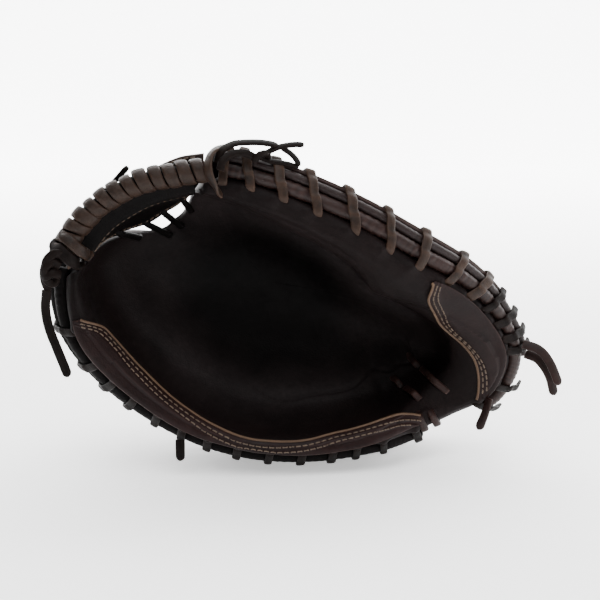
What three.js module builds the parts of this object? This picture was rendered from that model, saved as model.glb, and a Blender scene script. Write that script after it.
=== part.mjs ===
// A catcher mitt that lies on its thumb side, with its mouth facing -Y.
// Every wall is worked out in sections: a section is the plane that runs from a station of the rim
// towards the spine of the pocket. In it, inset is the way in from the outline, depth the way along +Y.
import * as THREE from "three";

// Driving sizes, in millimetres.
const LEATHER = 3;
const GAP = 0.4;
const POCKET_DEPTH = 112;
const POCKET_PAD = 11;
const HAND_ROOM_AT_POCKET = 7;
const BINDING_RADIUS = 4.3;
const WELT_RADIUS = 2.7;
const LACE_WIDTH = 6.2;
const LACE_THICKNESS = 2.2;
const PANEL_LEATHER = 1.6;
const PANEL_AT = 1;
const LIP_DROP = 12;
const BINDING_AT = 2 * GAP + BINDING_RADIUS;
const WELT_AT = 2 * BINDING_RADIUS + 5 * GAP + WELT_RADIUS;
const LAYERS = WELT_AT + WELT_RADIUS + 1.5 * GAP;
const BAR_RADIUS = 5.2;
const WEB_THICKNESS = 5;
const STRAP_THICKNESS = 3.5;
const POCKET = { x: -22, z: 106 };
const SPINE = { middle: { x: -10, z: 106 }, half: 68, slope: -0.16 };

// The rim's stations, clockwise in the front view from the finger tip. x and z place the outline, front
// the foremost line of the lip. tilt turns the laced edge from facing out (0) to facing back (90).
// lip is the inset at which the wall starts, pad the padding there, room and deepRoom the hand's room
// behind it at the lip and halfway down, square the squareness of the wall. palmFrom and backFrom are
// the shares of the section at which palm and back start: above 0 they leave a cut-out.
const COLUMNS = [
  "x", "z", "front", "tilt", "edge", "lip", "pad", "room", "deepRoom", "square", "palmFrom", "backFrom",
];
const RIM = {
  fingerTip: [-50, 208, 5, 25, 15, 29, 10, 7, 9, 1.9, 0.0, 0.0],
  fingerUpper: [-12, 201, 2, 20, 17, 37, 14, 11, 14, 2.0, 0.0, 0.0],
  fingerMiddle: [36, 181, 0, 20, 17, 40, 15, 11, 14, 2.1, 0.0, 0.0],
  fingerLower: [79, 157, 3, 25, 17, 42, 16, 9, 13, 2.0, 0.0, 0.0],
  knuckle: [113, 134, 10, 32, 16, 44, 18, 8, 13, 2.0, 0.0, 0.0],
  heelUpper: [136, 105, 20, 38, 14, 46, 19, 9, 16, 1.9, 0.0, 0.05],
  heelCorner: [147, 70, 30, 45, 11, 44, 20, 9, 17, 1.9, 0.0, 0.42],
  heelLower: [133, 39, 40, 50, 8, 38, 19, 8, 18, 1.9, 0.0, 0.66],
  heelMiddle: [104, 24, 42, 56, 6, 30, 16, 6, 22, 2.0, 0.0, 0.62],
  crease: [78, 17, 30, 60, 5, 23, 13, 4, 36, 2.3, 0.0, 0.36],
  thumbHeel: [50, 12, 12, 62, 5, 19, 11, 3, 48, 2.6, 0.0, 0.0],
  thumbMiddle: [6, 8, 3, 62, 5, 16, 10, 3, 52, 2.7, 0.0, 0.0],
  thumbUpper: [-38, 12, 0, 62, 5, 15, 10, 3, 48, 2.7, 0.0, 0.0],
  thumbPad: [-80, 27, 0, 62, 5, 18, 10, 3, 30, 2.5, 0.0, 0.0],
  thumbCorner: [-124, 57, 0, 60, 6, 22, 11, 3, 14, 2.3, 0.0, 0.0],
  thumbEnd: [-151, 91, 2, 56, 7, 22, 11, 4, 8, 2.1, 0.0, 0.0],
  thumbTip: [-157, 128, 5, 50, 8, 17, 8, 3, 5, 1.9, 0.0, 0.0],
  webThumbEnd: [-147, 152, 8, 45, 8, 12, 5, 2, 1, 1.8, 0.42, 0.45],
  webLeft: [-130, 172, 8, 45, 8, 11, 4, 1, 1, 1.75, 0.64, 0.67],
  webMiddle: [-105, 188, 6, 45, 8, 11, 4, 1, 1, 1.75, 0.66, 0.69],
  webRight: [-76, 196, 5, 45, 8, 12, 5, 1, 1, 1.8, 0.54, 0.57],
};

// Shares of a section where the lip's outer and inner turns end, and where the back meets the wall.
const OUTER_TURN = 0.12;
const INNER_TURN = 0.26;
const BACK_JOINS = 0.34;

const NAMES = Object.keys(RIM);
const STATIONS = NAMES.length;
const at = (name) => NAMES.indexOf(name);

function smoothThrough(p0, p1, p2, p3, t) {
  const a = 2 * p1;
  const b = p2 - p0;
  const c = 2 * p0 - 5 * p1 + 4 * p2 - p3;
  const d = 3 * p1 - p0 - 3 * p2 + p3;
  return (a + b * t + c * t * t + d * t * t * t) / 2;
}

// All that a section needs, at any place s along the rim, counted in stations.
function section(s) {
  const turn = ((s % STATIONS) + STATIONS) % STATIONS;
  const first = Math.floor(turn);
  const rows = [-1, 0, 1, 2].map((k) => RIM[NAMES[(first + k + STATIONS) % STATIONS]]);
  const row = {};
  COLUMNS.forEach((column, i) => {
    row[column] = smoothThrough(...rows.map((r) => r[i]), turn - first);
  });
  row.palmFrom = Math.max(0, row.palmFrom);
  row.backFrom = Math.max(0, row.backFrom);
  const spineLength = Math.hypot(1, SPINE.slope);
  const alongSpine =
    (row.x - SPINE.middle.x + (row.z - SPINE.middle.z) * SPINE.slope) / spineLength / SPINE.half;
  const eased = (alongSpine / (1 + alongSpine ** 4) ** 0.25) * SPINE.half;
  row.aimX = SPINE.middle.x + eased / spineLength;
  row.aimZ = SPINE.middle.z + (eased * SPINE.slope) / spineLength;
  row.reach = Math.hypot(row.aimX - row.x, row.aimZ - row.z);
  const tilt = THREE.MathUtils.degToRad(row.tilt);
  row.outward = { inset: -Math.cos(tilt), depth: Math.sin(tilt) };
  row.across = { inset: Math.sin(tilt), depth: Math.cos(tilt) };
  row.ridge = row.edge + 1 + 7 * Math.cos(tilt);
  row.setBack = 5 + 4 * Math.sin(tilt);
  row.lip = Math.max(row.lip, row.ridge + 3);
  return row;
}

// A point of a section, in space. Far in, sections lean to the deepest point of the pocket.
function place(row, inset, depth) {
  const share = inset / row.reach;
  const lean = share * share;
  const toX = row.aimX + (POCKET.x - row.aimX) * lean;
  const toZ = row.aimZ + (POCKET.z - row.aimZ) * lean;
  return new THREE.Vector3(row.x + (toX - row.x) * share, depth, row.z + (toZ - row.z) * share);
}

// The palm's face in a section, from its laced edge (0) over the lip to the bottom of the pocket (1).
function palmFace(row, share) {
  if (share < OUTER_TURN) {
    const angle = ((share / OUTER_TURN) * Math.PI) / 2;
    return {
      inset: row.ridge - (row.ridge - row.edge) * Math.cos(angle),
      depth: row.front + row.setBack * (1 - Math.sin(angle)),
    };
  }
  if (share < INNER_TURN) {
    const angle = (((share - OUTER_TURN) / (INNER_TURN - OUTER_TURN)) * Math.PI) / 2;
    return {
      inset: row.ridge + (row.lip - row.ridge) * Math.sin(angle),
      depth: row.front + LIP_DROP * (1 - Math.cos(angle)),
    };
  }
  const angle = (((share - INNER_TURN) / (1 - INNER_TURN)) * Math.PI) / 2;
  const power = 2 / row.square;
  const wallTop = row.front + LIP_DROP;
  return {
    inset: row.lip + (row.reach - row.lip) * (1 - Math.max(0, Math.cos(angle)) ** power),
    depth: wallTop + (POCKET_DEPTH - wallTop) * Math.sin(angle) ** power,
  };
}

// The wall's direction away from the pocket, in the section.
function wallNormal(row, share) {
  const step = 0.01;
  const a = palmFace(row, Math.max(INNER_TURN, share - step));
  const b = palmFace(row, Math.min(1, share + step));
  const inset = b.inset - a.inset;
  const depth = b.depth - a.depth;
  const length = Math.hypot(inset, depth);
  return { inset: -depth / length, depth: inset / length };
}

function offsetWall(row, share, distance) {
  const face = palmFace(row, share);
  const normal = wallNormal(row, share);
  return { inset: face.inset + normal.inset * distance, depth: face.depth + normal.depth * distance };
}

const mix = (a, b, t) => a + (b - a) * t;
const mixPoint = (a, b, t) => ({ inset: mix(a.inset, b.inset, t), depth: mix(a.depth, b.depth, t) });
const down = (share) => Math.max(0, (share - INNER_TURN) / (1 - INNER_TURN));

// The laced edge's own axes, from the palm's edge: outward through its layers, and across them to the back.
function edgeLayer(row, outward, across = 0) {
  const edge = palmFace(row, 0);
  return {
    inset: edge.inset + row.outward.inset * outward + row.across.inset * across,
    depth: edge.depth + row.outward.depth * outward + row.across.depth * across,
  };
}

// Keeps a point of the padding or the back clear of the binding and the welt.
function clearOfEdge(row, point, margin) {
  const edge = palmFace(row, 0);
  const inset = point.inset - edge.inset;
  const depth = point.depth - edge.depth;
  const outward = inset * row.outward.inset + depth * row.outward.depth;
  const across = inset * row.across.inset + depth * row.across.depth;
  if (outward < -2 || outward > LAYERS - GAP) return point;
  return edgeLayer(row, outward, Math.max(across, BINDING_RADIUS + margin));
}

// The hidden side of the padding.
function padBack(row, share) {
  const thickness = mix(row.pad, POCKET_PAD, down(share));
  if (share === 0) return edgeLayer(row, 0, LEATHER);
  if (share >= INNER_TURN) return clearOfEdge(row, offsetWall(row, share, thickness), 3 * GAP);
  const start = edgeLayer(row, 0, LEATHER);
  const point = mixPoint(start, offsetWall(row, INNER_TURN, thickness), share / INNER_TURN);
  return clearOfEdge(row, point, 3 * GAP);
}

// How far behind the palm's face the inside of the back lies.
function backDistance(row, share) {
  const t = down(share);
  const room = row.room * (1 - t) ** 2 + 2 * row.deepRoom * t * (1 - t) + HAND_ROOM_AT_POCKET * t * t;
  return mix(row.pad, POCKET_PAD, t) + Math.max(GAP, room);
}

// The back, from its laced edge behind the welt.
function backFace(row, share, inside) {
  const leather = inside ? 0 : LEATHER;
  const wall = Math.max(share, BACK_JOINS);
  const point = offsetWall(row, wall, backDistance(row, wall) + leather);
  if (share >= BACK_JOINS) return point;
  const start = edgeLayer(row, LAYERS + leather, inside ? 0.3 * LEATHER : 0);
  return mixPoint(start, point, share / BACK_JOINS);
}

// Leather is flattened where the mitt rests.
function rested(point, height) {
  point.z = Math.max(point.z, height);
  return point;
}

const palmPoint = (row, share) => {
  const p = palmFace(row, share);
  return place(row, p.inset, p.depth);
};
const padBackPoint = (row, share) => {
  const p = padBack(row, share);
  return rested(place(row, p.inset, p.depth), LEATHER + 2 * GAP);
};
const backPoint = (row, share, inside, shiftZ) => {
  const p = backFace(row, share, inside);
  const point = place(row, p.inset, p.depth);
  const shift = shiftZ * share * share;
  point.x += shift * 0.3;
  point.z += shift;
  return rested(point, inside ? LEATHER : 0);
};

// Closed meshes

function meshOf(name, points, triangles, material) {
  const geometry = new THREE.BufferGeometry();
  const numbers = points.flatMap((p) => [p.x, p.y, p.z]);
  geometry.setAttribute("position", new THREE.Float32BufferAttribute(numbers, 3));
  let volume = 0;
  for (const [a, b, c] of triangles) volume += points[a].dot(points[b].clone().cross(points[c]));
  geometry.setIndex(triangles.flatMap(([a, b, c]) => (volume < 0 ? [a, c, b] : [a, b, c])));
  geometry.computeVertexNormals();
  const mesh = new THREE.Mesh(geometry, material.clone());
  mesh.name = name;
  return mesh;
}

// A sheet with two faces, each a grid of rows by columns. A closed sheet joins its last row to its
// first, and one with an apex ends in a single point on each face.
function sheet(name, rows, columns, face, other, material, { closed = false, apex = false } = {}) {
  const points = [];
  const triangles = [];
  const grids = [face, other].map((surface) => {
    const grid = [];
    for (let i = 0; i < rows; i++) {
      grid.push([]);
      for (let j = 0; j < columns; j++) {
        if (apex && j === columns - 1 && i > 0) {
          grid[i].push(grid[0][j]);
        } else {
          grid[i].push(points.length);
          points.push(surface(i, j));
        }
      }
    }
    return grid;
  });
  const add = (a, b, c) => {
    if (a !== b && b !== c && a !== c) triangles.push([a, b, c]);
  };
  const quad = (a, b, c, d) => {
    add(a, b, c);
    add(a, c, d);
  };
  const lastRow = closed ? rows : rows - 1;
  const [front, back] = grids;
  for (let i = 0; i < lastRow; i++) {
    const k = (i + 1) % rows;
    for (let j = 0; j < columns - 1; j++) {
      quad(front[i][j], front[k][j], front[k][j + 1], front[i][j + 1]);
      quad(back[i][j], back[i][j + 1], back[k][j + 1], back[k][j]);
    }
    quad(front[i][0], back[i][0], back[k][0], front[k][0]);
    if (!apex) {
      const end = columns - 1;
      quad(front[i][end], front[k][end], back[k][end], back[i][end]);
    }
  }
  if (!closed) {
    for (let j = 0; j < columns - 1; j++) {
      const end = rows - 1;
      quad(front[0][j], front[0][j + 1], back[0][j + 1], back[0][j]);
      quad(front[end][j], back[end][j], back[end][j + 1], front[end][j + 1]);
    }
  }
  return meshOf(name, points, triangles, material);
}

// A strap of rectangular section through points that each know their side direction.
function strap(name, path, width, thickness, material) {
  const rings = path.map(({ point, side }, i) => {
    const before = path[Math.max(0, i - 1)].point;
    const after = path[Math.min(path.length - 1, i + 1)].point;
    const along = after.clone().sub(before).normalize();
    const flat = side.clone().addScaledVector(along, -side.dot(along)).normalize();
    const up = along.clone().cross(flat);
    return [[-1, -1], [1, -1], [1, 1], [-1, 1]].map(([w, t]) =>
      point.clone().addScaledVector(flat, (w * width) / 2).addScaledVector(up, (t * thickness) / 2),
    );
  });
  const points = rings.flat();
  const triangles = [];
  for (let i = 0; i < rings.length - 1; i++) {
    for (let k = 0; k < 4; k++) {
      const a = i * 4 + k;
      const b = i * 4 + ((k + 1) % 4);
      triangles.push([a, b, b + 4], [a, b + 4, a + 4]);
    }
  }
  const end = (rings.length - 1) * 4;
  triangles.push([0, 2, 1], [0, 3, 2], [end, end + 1, end + 2], [end, end + 2, end + 3]);
  return meshOf(name, points, triangles, material);
}

// A round cord or roll along a curve.
function roll(name, points, radius, sides, steps, material) {
  const outline = new THREE.Shape();
  for (let k = 0; k < sides; k++) {
    const angle = (k / sides) * 2 * Math.PI;
    outline[k ? "lineTo" : "moveTo"](radius * Math.cos(angle), radius * Math.sin(angle));
  }
  const geometry = new THREE.ExtrudeGeometry(outline, {
    steps,
    extrudePath: new THREE.CatmullRomCurve3(points),
    bevelEnabled: false,
  });
  const mesh = new THREE.Mesh(geometry, material.clone());
  mesh.name = name;
  return mesh;
}

// Materials

const finish = (color, roughness) => new THREE.MeshStandardMaterial({ color, roughness, metalness: 0 });
const SHELL = finish(0x2c2125, 0.5);
const PALM = finish(0x30272b, 0.55);
const BINDING = finish(0x34292b, 0.5);
const LACE = finish(0x5a4a40, 0.6);

const mitt = new THREE.Group();
const add = (mesh) => mitt.add(mesh);

// Places along the rim by length, from the finger tip.
const FINE = 12;
const lengths = [0];
for (let i = 1; i <= STATIONS * FINE; i++) {
  const a = section((i - 1) / FINE);
  const b = section(i / FINE);
  lengths.push(lengths[i - 1] + Math.hypot(b.x - a.x, b.z - a.z));
}
function alongRim(length) {
  let i = 1;
  while (i < lengths.length - 1 && lengths[i] < length) i++;
  return (i - 1 + (length - lengths[i - 1]) / (lengths[i] - lengths[i - 1])) / FINE;
}

// Palm

// More sections at the crease and at the thumb's end of the crotch, where the rim turns most.
const PALM_PLACES = [];
for (let s = 0; s < STATIONS; s++) {
  const atCrease = s >= at("heelCorner") && s < at("thumbMiddle");
  const atCrotch = s >= at("thumbTip") && s < at("webLeft");
  const parts = atCrease || atCrotch ? 6 : 3;
  for (let k = 0; k < parts; k++) PALM_PLACES.push(s + k / parts);
}
const PALM_SHARES = [0, 0.06, 0.12, 0.19, 0.26, 0.36, 0.46, 0.56, 0.66, 0.76, 0.87, 1];
const shareAfter = (start, share) => mix(start, 1, share);
const palmGrid = (surface) => (i, j) => {
  const row = section(PALM_PLACES[i]);
  return surface(row, shareAfter(row.palmFrom, PALM_SHARES[j]));
};
const palmOptions = { closed: true, apex: true };
const palmRows = PALM_PLACES.length;
const palmColumns = PALM_SHARES.length;
add(sheet("palm", palmRows, palmColumns, palmGrid(palmPoint), palmGrid(padBackPoint), PALM, palmOptions));

// Back, in two halves that meet behind the pocket

const HEEL_SPLIT = at("heelMiddle") - 0.5;
const CROTCH_SPLIT = at("webMiddle") - 0.4;
const BACK_SHARES = [0, 0.17, 0.34, 0.42, 0.52, 0.63, 0.74, 0.87, 1];
const SEAM_SHIFT = 0.6;

function backHalf(name, start, end, shiftZ) {
  const rows = Math.round((end - start) * 3) + 1;
  const row = (i) => section(mix(start, end, i / (rows - 1)));
  const surface = (inside) => (i, j) => {
    const r = row(i);
    return backPoint(r, shareAfter(r.backFrom, BACK_SHARES[j]), inside, shiftZ);
  };
  add(sheet(name, rows, BACK_SHARES.length, surface(false), surface(true), SHELL, { apex: true }));
}
backHalf("finger_back", CROTCH_SPLIT - STATIONS, HEEL_SPLIT, SEAM_SHIFT);
backHalf("thumb_back", HEEL_SPLIT, CROTCH_SPLIT, -SEAM_SHIFT);

// Wrist strap, across the cut-out at the heel

const STRAP = { start: at("heelUpper") + 0.1, end: at("thumbHeel") - 0.3, top: 0.5, bottom: 0.64 };
const STRAP_ROWS = 17;
const strapPoint = (distance) => (i, j) => {
  const r = section(mix(STRAP.start, STRAP.end, i / (STRAP_ROWS - 1)));
  const share = mix(STRAP.top, STRAP.bottom, j / 2);
  const p = offsetWall(r, share, backDistance(r, share) + LEATHER + distance);
  return place(r, p.inset, p.depth);
};
add(
  sheet("wrist_strap", STRAP_ROWS, 3, strapPoint(2 * GAP), strapPoint(2 * GAP + STRAP_THICKNESS), SHELL),
);

// Stitched leather panels on the palm. Each row of their tables is a place along the rim, in stations,
// with the share of the section at which the panel starts and ends.
const THUMB_PANEL = [
  { s: at("crease") - 0.25, start: 0.12, end: 0.15 },
  { s: at("thumbHeel") - 0.5, start: 0.12, end: 0.21 },
  { s: at("thumbMiddle") - 0.5, start: 0.1, end: 0.24 },
  { s: at("thumbMiddle") + 0.2, start: 0.09, end: 0.19 },
  { s: at("thumbUpper"), start: 0.09, end: 0.18 },
  { s: at("thumbPad"), start: 0.09, end: 0.25 },
  { s: at("thumbCorner"), start: 0.09, end: 0.28 },
  { s: at("thumbCorner") + 0.4, start: 0.09, end: 0.3 },
  { s: at("thumbEnd") - 0.1, start: 0.09, end: 0.27 },
  { s: at("thumbEnd") + 0.25, start: 0.1, end: 0.14 },
];
const HEEL_PANEL = [
  { s: at("fingerLower") + 0.7, start: 0.1, end: 0.115 },
  { s: at("knuckle") + 0.2, start: 0.09, end: 0.16 },
  { s: at("heelUpper"), start: 0.09, end: 0.19 },
  { s: at("heelUpper") + 0.7, start: 0.09, end: 0.21 },
  { s: at("heelCorner") + 0.4, start: 0.09, end: 0.17 },
  { s: at("heelLower"), start: 0.09, end: 0.14 },
  { s: at("heelLower") + 0.3, start: 0.1, end: 0.12 },
];
function fromTable(table, column, t) {
  const rowAt = t * (table.length - 1);
  const i = Math.min(table.length - 2, Math.floor(rowAt));
  const value = (k) => table[Math.max(0, Math.min(table.length - 1, k))][column];
  return smoothThrough(value(i - 1), value(i), value(i + 1), value(i + 2), rowAt - i);
}
function facePanel(name, table, rows) {
  const columns = 5;
  const surface = (distance) => (i, j) => {
    const t = i / (rows - 1);
    const r = section(fromTable(table, "s", t));
    const share = mix(fromTable(table, "start", t), fromTable(table, "end", t), j / (columns - 1));
    return proud(r, share, distance);
  };
  add(sheet(name, rows, columns, surface(PANEL_AT), surface(PANEL_AT + PANEL_LEATHER), PALM));
}
// A point that stands proud of the palm's face, towards the pocket.
function proudSection(row, share, distance) {
  const step = 0.01;
  const a = palmFace(row, Math.max(0, share - step));
  const b = palmFace(row, Math.min(1, share + step));
  const length = Math.hypot(b.inset - a.inset, b.depth - a.depth);
  const p = palmFace(row, share);
  return {
    inset: p.inset + ((b.depth - a.depth) / length) * distance,
    depth: p.depth - ((b.inset - a.inset) / length) * distance,
  };
}
function proud(row, share, distance) {
  const p = proudSection(row, share, distance);
  return place(row, p.inset, p.depth);
}
facePanel("thumb_panel", THUMB_PANEL, 31);
facePanel("heel_panel", HEEL_PANEL, 21);

// Rolled binding and welt along the laced edge

function edgeRoll(name, start, end, distance, radius, sides, material) {
  const count = Math.round((end - start) * 5) + 1;
  const points = [];
  for (let i = 0; i < count; i++) {
    const r = section(mix(start, end, i / (count - 1)));
    const p = edgeLayer(r, distance);
    points.push(place(r, p.inset, p.depth));
  }
  add(roll(name, points, radius, sides, count - 1, material));
}
const FINGER_EDGE = { start: 0.1, end: at("heelLower") + 0.4 };
const THUMB_EDGE = { start: at("crease") - 0.05, end: at("thumbTip") + 0.25 };
edgeRoll("finger_binding", FINGER_EDGE.start, FINGER_EDGE.end, BINDING_AT, BINDING_RADIUS, 8, BINDING);
edgeRoll("thumb_binding", THUMB_EDGE.start, THUMB_EDGE.end, BINDING_AT, BINDING_RADIUS, 8, BINDING);
edgeRoll("finger_welt", FINGER_EDGE.start, FINGER_EDGE.end - 1.4, WELT_AT, WELT_RADIUS, 6, SHELL);
edgeRoll("thumb_welt", THUMB_EDGE.start + 0.8, THUMB_EDGE.end, WELT_AT, WELT_RADIUS, 6, SHELL);

// Web: a bar wound with lace, a panel under it, and the laces that tie the panel to the palm

const BAR = [
  { x: -153, y: 5, z: 139 },
  { x: -147, y: 7, z: 153 },
  { x: -131, y: 8, z: 173 },
  { x: -105, y: 6, z: 189.5 },
  { x: -78, y: 5, z: 196 },
  { x: -61, y: 5, z: 198.5 },
];
const WEB = { start: at("thumbTip") + 0.85, end: at("webRight") + 0.35, top: 0.27, behindBar: 9.5 };
const WRAP = { turns: 13, radius: 7.3, width: 7.6, sides: 8, thickness: 2 };
const barPoints = BAR.map(({ x, y, z }) => new THREE.Vector3(x, y, z));
add(roll("web_bar", barPoints, BAR_RADIUS, 10, 16, BINDING));

const barCurve = new THREE.CatmullRomCurve3(barPoints);
const wrapCount = WRAP.turns * WRAP.sides;
const wrapPath = [];
for (let i = 0; i <= wrapCount; i++) {
  const t = mix(0.02, 0.96, i / wrapCount);
  const along = barCurve.getTangentAt(t);
  const up = new THREE.Vector3(0, 1, 0).cross(along).normalize();
  const front = along.clone().cross(up);
  const angle = (i / WRAP.sides) * 2 * Math.PI;
  const point = barCurve
    .getPointAt(t)
    .addScaledVector(up, WRAP.radius * Math.cos(angle))
    .addScaledVector(front, WRAP.radius * Math.sin(angle));
  wrapPath.push({ point, side: along });
}
add(strap("web_wrap", wrapPath, WRAP.width, WRAP.thickness, LACE));

const webBottom = (r) => Math.max(WEB.top + 0.04, r.palmFrom - 0.1);
const WEB_ROWS = 15;
const webPoint = (distance) => (i, j) => {
  const r = section(mix(WEB.start, WEB.end, i / (WEB_ROWS - 1)));
  if (j === 0) return place(r, 1, r.front + WEB.behindBar + distance);
  const p = offsetWall(r, mix(WEB.top, webBottom(r), (j - 1) / 5), distance);
  return place(r, p.inset, p.depth);
};
add(sheet("web_panel", WEB_ROWS, 7, webPoint(0), webPoint(WEB_THICKNESS), SHELL));

// A lace that lies on the palm's face, from one place to another.
function faceLace(name, start, end, clear) {
  const steps = 7;
  const onFace = (t, distance) =>
    proud(section(mix(start.s, end.s, t)), mix(start.share, end.share, t), distance);
  const path = Array.from({ length: steps + 1 }, (_, i) => {
    const t = i / steps;
    const along = onFace(Math.min(1, t + 0.05), 0).sub(onFace(Math.max(0, t - 0.05), 0));
    const normal = onFace(t, 1).sub(onFace(t, 0));
    return { point: onFace(t, LACE_THICKNESS / 2 + clear), side: along.cross(normal) };
  });
  add(strap(name, path, LACE_WIDTH, LACE_THICKNESS, LACE));
}

// Crotch laces, from the web's lower edge to the palm's, each at a place along the rim in stations.
const CROTCH_LACES = [
  at("webThumbEnd") + 0.6,
  at("webLeft") + 0.35,
  at("webMiddle") + 0.1,
  at("webRight") - 0.1,
];
CROTCH_LACES.forEach((s, k) => {
  const r = section(s);
  const onWeb = { s, share: webBottom(r) - 0.05 };
  const onPalm = { s, share: r.palmFrom + 0.05 };
  faceLace(`crotch_lace_${k + 1}`, onWeb, onPalm, 3 * GAP);
});

// Hinge laces, down the crease at the heel.
const HINGE_LACES = [
  { start: { s: at("heelMiddle") - 0.1, share: 0.6 }, end: { s: at("heelMiddle") - 0.05, share: 0.465 } },
  { start: { s: at("heelMiddle") - 0.1, share: 0.43 }, end: { s: at("heelMiddle") - 0.3, share: 0.18 } },
  { start: { s: at("crease") + 0.35, share: 0.6 }, end: { s: at("crease"), share: 0.44 } },
  { start: { s: at("crease") - 0.1, share: 0.38 }, end: { s: at("crease") - 0.45, share: 0.22 } },
];
HINGE_LACES.forEach(({ start, end }, k) => faceLace(`hinge_lace_${k + 1}`, start, end, 2.5 * GAP));

// Laces round the edge: millimetres along the rim from the finger tip, and how far each leans along it.
const RIM_LACES = [
  [17, -9], [38, -11], [61, -12], [88, -12], [116, -11], [144, -11], [173, -10], [195, -9], [211, -9],
  [226, -9], [239, -8], [249.5, -7], [280, -6], [300, -6], [351, 0], [374, 0], [392, 0], [408, 0], [428, 0],
  [449, 0], [470, 0], [490, 0], [508, 0], [527, 0], [547, 2], [566, 3], [584, 4], [612, 4],
];
const LACE_HOLE = 0.05;
const LACE_CLEAR = LACE_THICKNESS / 2 + 2.5 * GAP;
const ring = (centre, radius, angle) => (r) =>
  edgeLayer(r, centre + (radius + LACE_CLEAR) * Math.sin(angle), -(radius + LACE_CLEAR) * Math.cos(angle));
const behindBack = (share) => (r) => {
  const a = backFace(r, share, false);
  const b = backFace(r, share + 0.02, false);
  const size = Math.hypot(b.inset - a.inset, b.depth - a.depth);
  return {
    inset: a.inset - ((b.depth - a.depth) / size) * (LACE_CLEAR + 1.5 * GAP),
    depth: a.depth + ((b.inset - a.inset) / size) * (LACE_CLEAR + 1.5 * GAP),
  };
};
const edgeAt = (s) => {
  const r = section(s);
  const p = edgeLayer(r, BINDING_AT);
  return place(r, p.inset, p.depth);
};
const ROUND_THE_EDGE = [
  (r) => proudSection(r, LACE_HOLE, LACE_CLEAR),
  ring(BINDING_AT, BINDING_RADIUS, -0.55),
  ring(BINDING_AT, BINDING_RADIUS, 0),
  ring(BINDING_AT, BINDING_RADIUS, 0.5),
  ring(WELT_AT, WELT_RADIUS, 0.3),
  (r) => edgeLayer(r, LAYERS + LEATHER * 0.4, -LACE_CLEAR - 2 * GAP),
  (r) => edgeLayer(r, LAYERS + LEATHER + LACE_CLEAR + 2 * GAP, 0),
];
const DOWN_THE_BACK = [behindBack(0.08), behindBack(0.17)];
function rimLace(name, length, lean) {
  const s = alongRim(length);
  const stationsPerMm = (alongRim(length + 5) - alongRim(length - 5)) / 10;
  const onFingers = s < at("knuckle") + 0.5;
  const onThumb = s > at("crease");
  const route = [
    ...(onThumb ? ROUND_THE_EDGE.slice(0, -1) : ROUND_THE_EDGE),
    ...(onFingers ? DOWN_THE_BACK : []),
    ...(onThumb ? [behindBack(0.05)] : []),
  ];
  const side = edgeAt(s + 0.05).sub(edgeAt(s - 0.05));
  const path = route.map((stop, i) => {
    const r = section(s + lean * stationsPerMm * (i / (route.length - 1) - 0.5));
    const p = stop(r);
    return { point: place(r, p.inset, p.depth), side };
  });
  const offTheFloor = path.filter(({ point }) => point.z > LACE_THICKNESS / 2 + GAP);
  add(strap(name, offTheFloor, LACE_WIDTH, LACE_THICKNESS, LACE));
}
RIM_LACES.forEach(([length, lean], k) => {
  rimLace(`rim_lace_${String(k + 1).padStart(2, "0")}`, length, lean);
});
rimLace("web_loop", 3, 0);

// Stitched band behind the bar's finger end
const BAND = { start: 0.66, end: 1, below: 3, above: 10, behind: 15.5 };
const bandPoint = (distance) => (i, j) => {
  const p = barCurve.getPointAt(mix(BAND.start, BAND.end, i / 4));
  p.z += mix(-BAND.below, BAND.above, j);
  p.y += BAND.behind + distance;
  return p;
};
add(sheet("web_band", 5, 2, bandPoint(0), bandPoint(LEATHER), SHELL));

// Knots and loose ends of lace: points in space, and the way that the lace's flat side looks.
const ENDS = {
  finger_knot: {
    facing: [0, -1, 0.6],
    points: [
      [-57, -1, 196], [-56, 1, 206], [-48, 5, 215], [-38, 8, 216],
      [-29, 9, 213], [-18, 10, 211], [-6, 11, 213], [3, 12, 214],
    ],
  },
  thumb_knot: {
    facing: [0, -1, 0],
    points: [
      [-151, -4.2, 145], [-159, -4.2, 143], [-162, -4.2, 136],
      [-160, -4.2, 128], [-153, -4.2, 126], [-149, -4.2, 133],
    ],
  },
  thumb_tail_up: {
    facing: [0, 1, 0],
    points: [[-157, 16, 145], [-145, 18, 159], [-132, 18, 175], [-120, 18, 187], [-109, 18, 199]],
  },
  thumb_tail_down: {
    facing: [-0.5, -1, 0],
    points: [
      [-160, -3.5, 123.5], [-161, -2.5, 111], [-159, -3, 99],
      [-154, -5, 86], [-150, -6, 76], [-147, -7, 68],
    ],
  },
  heel_tail_1: { facing: [0, -1, 1], points: [[145, 34, 80], [155, 31, 77], [162, 28, 69], [168, 24, 55]] },
  heel_tail_2: {
    facing: [0, -1, 1],
    points: [[147.1, 39.5, 70.6], [154.5, 37, 66], [161, 34, 57], [165, 31, 46]],
  },
  heel_lower_tail: { facing: [0, -1, 0.5], points: [[124, 36.6, 43], [121, 35.5, 33], [117, 36.5, 22]] },
  thumb_lower_tail: { facing: [0, -1, 0], points: [[-77, 4, 24], [-77, 3, 18], [-77, 4, 10]] },
};
for (const [name, { facing, points }] of Object.entries(ENDS)) {
  const curve = new THREE.CatmullRomCurve3(points.map((p) => new THREE.Vector3(...p)));
  const steps = points.length * 2;
  const path = Array.from({ length: steps + 1 }, (_, i) => ({
    point: curve.getPoint(i / steps),
    side: curve.getTangent(i / steps).cross(new THREE.Vector3(...facing)),
  }));
  add(strap(name, path, LACE_WIDTH, LACE_THICKNESS, LACE));
}

// The origin is below the middle of the mitt's box, without its two hanging laces.
const HANGING = ["thumb_tail_up", "thumb_tail_down"];
const box = new THREE.Box3();
mitt.children.filter((mesh) => !HANGING.includes(mesh.name)).forEach((mesh) => box.expandByObject(mesh));
const middle = box.getCenter(new THREE.Vector3());
mitt.position.set(-middle.x, -middle.y, -box.min.z);
export default mitt;
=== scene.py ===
"""A catcher mitt that lies on its thumb side: leather, padding, laces and stitching over the CAD solids."""

import math

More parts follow.
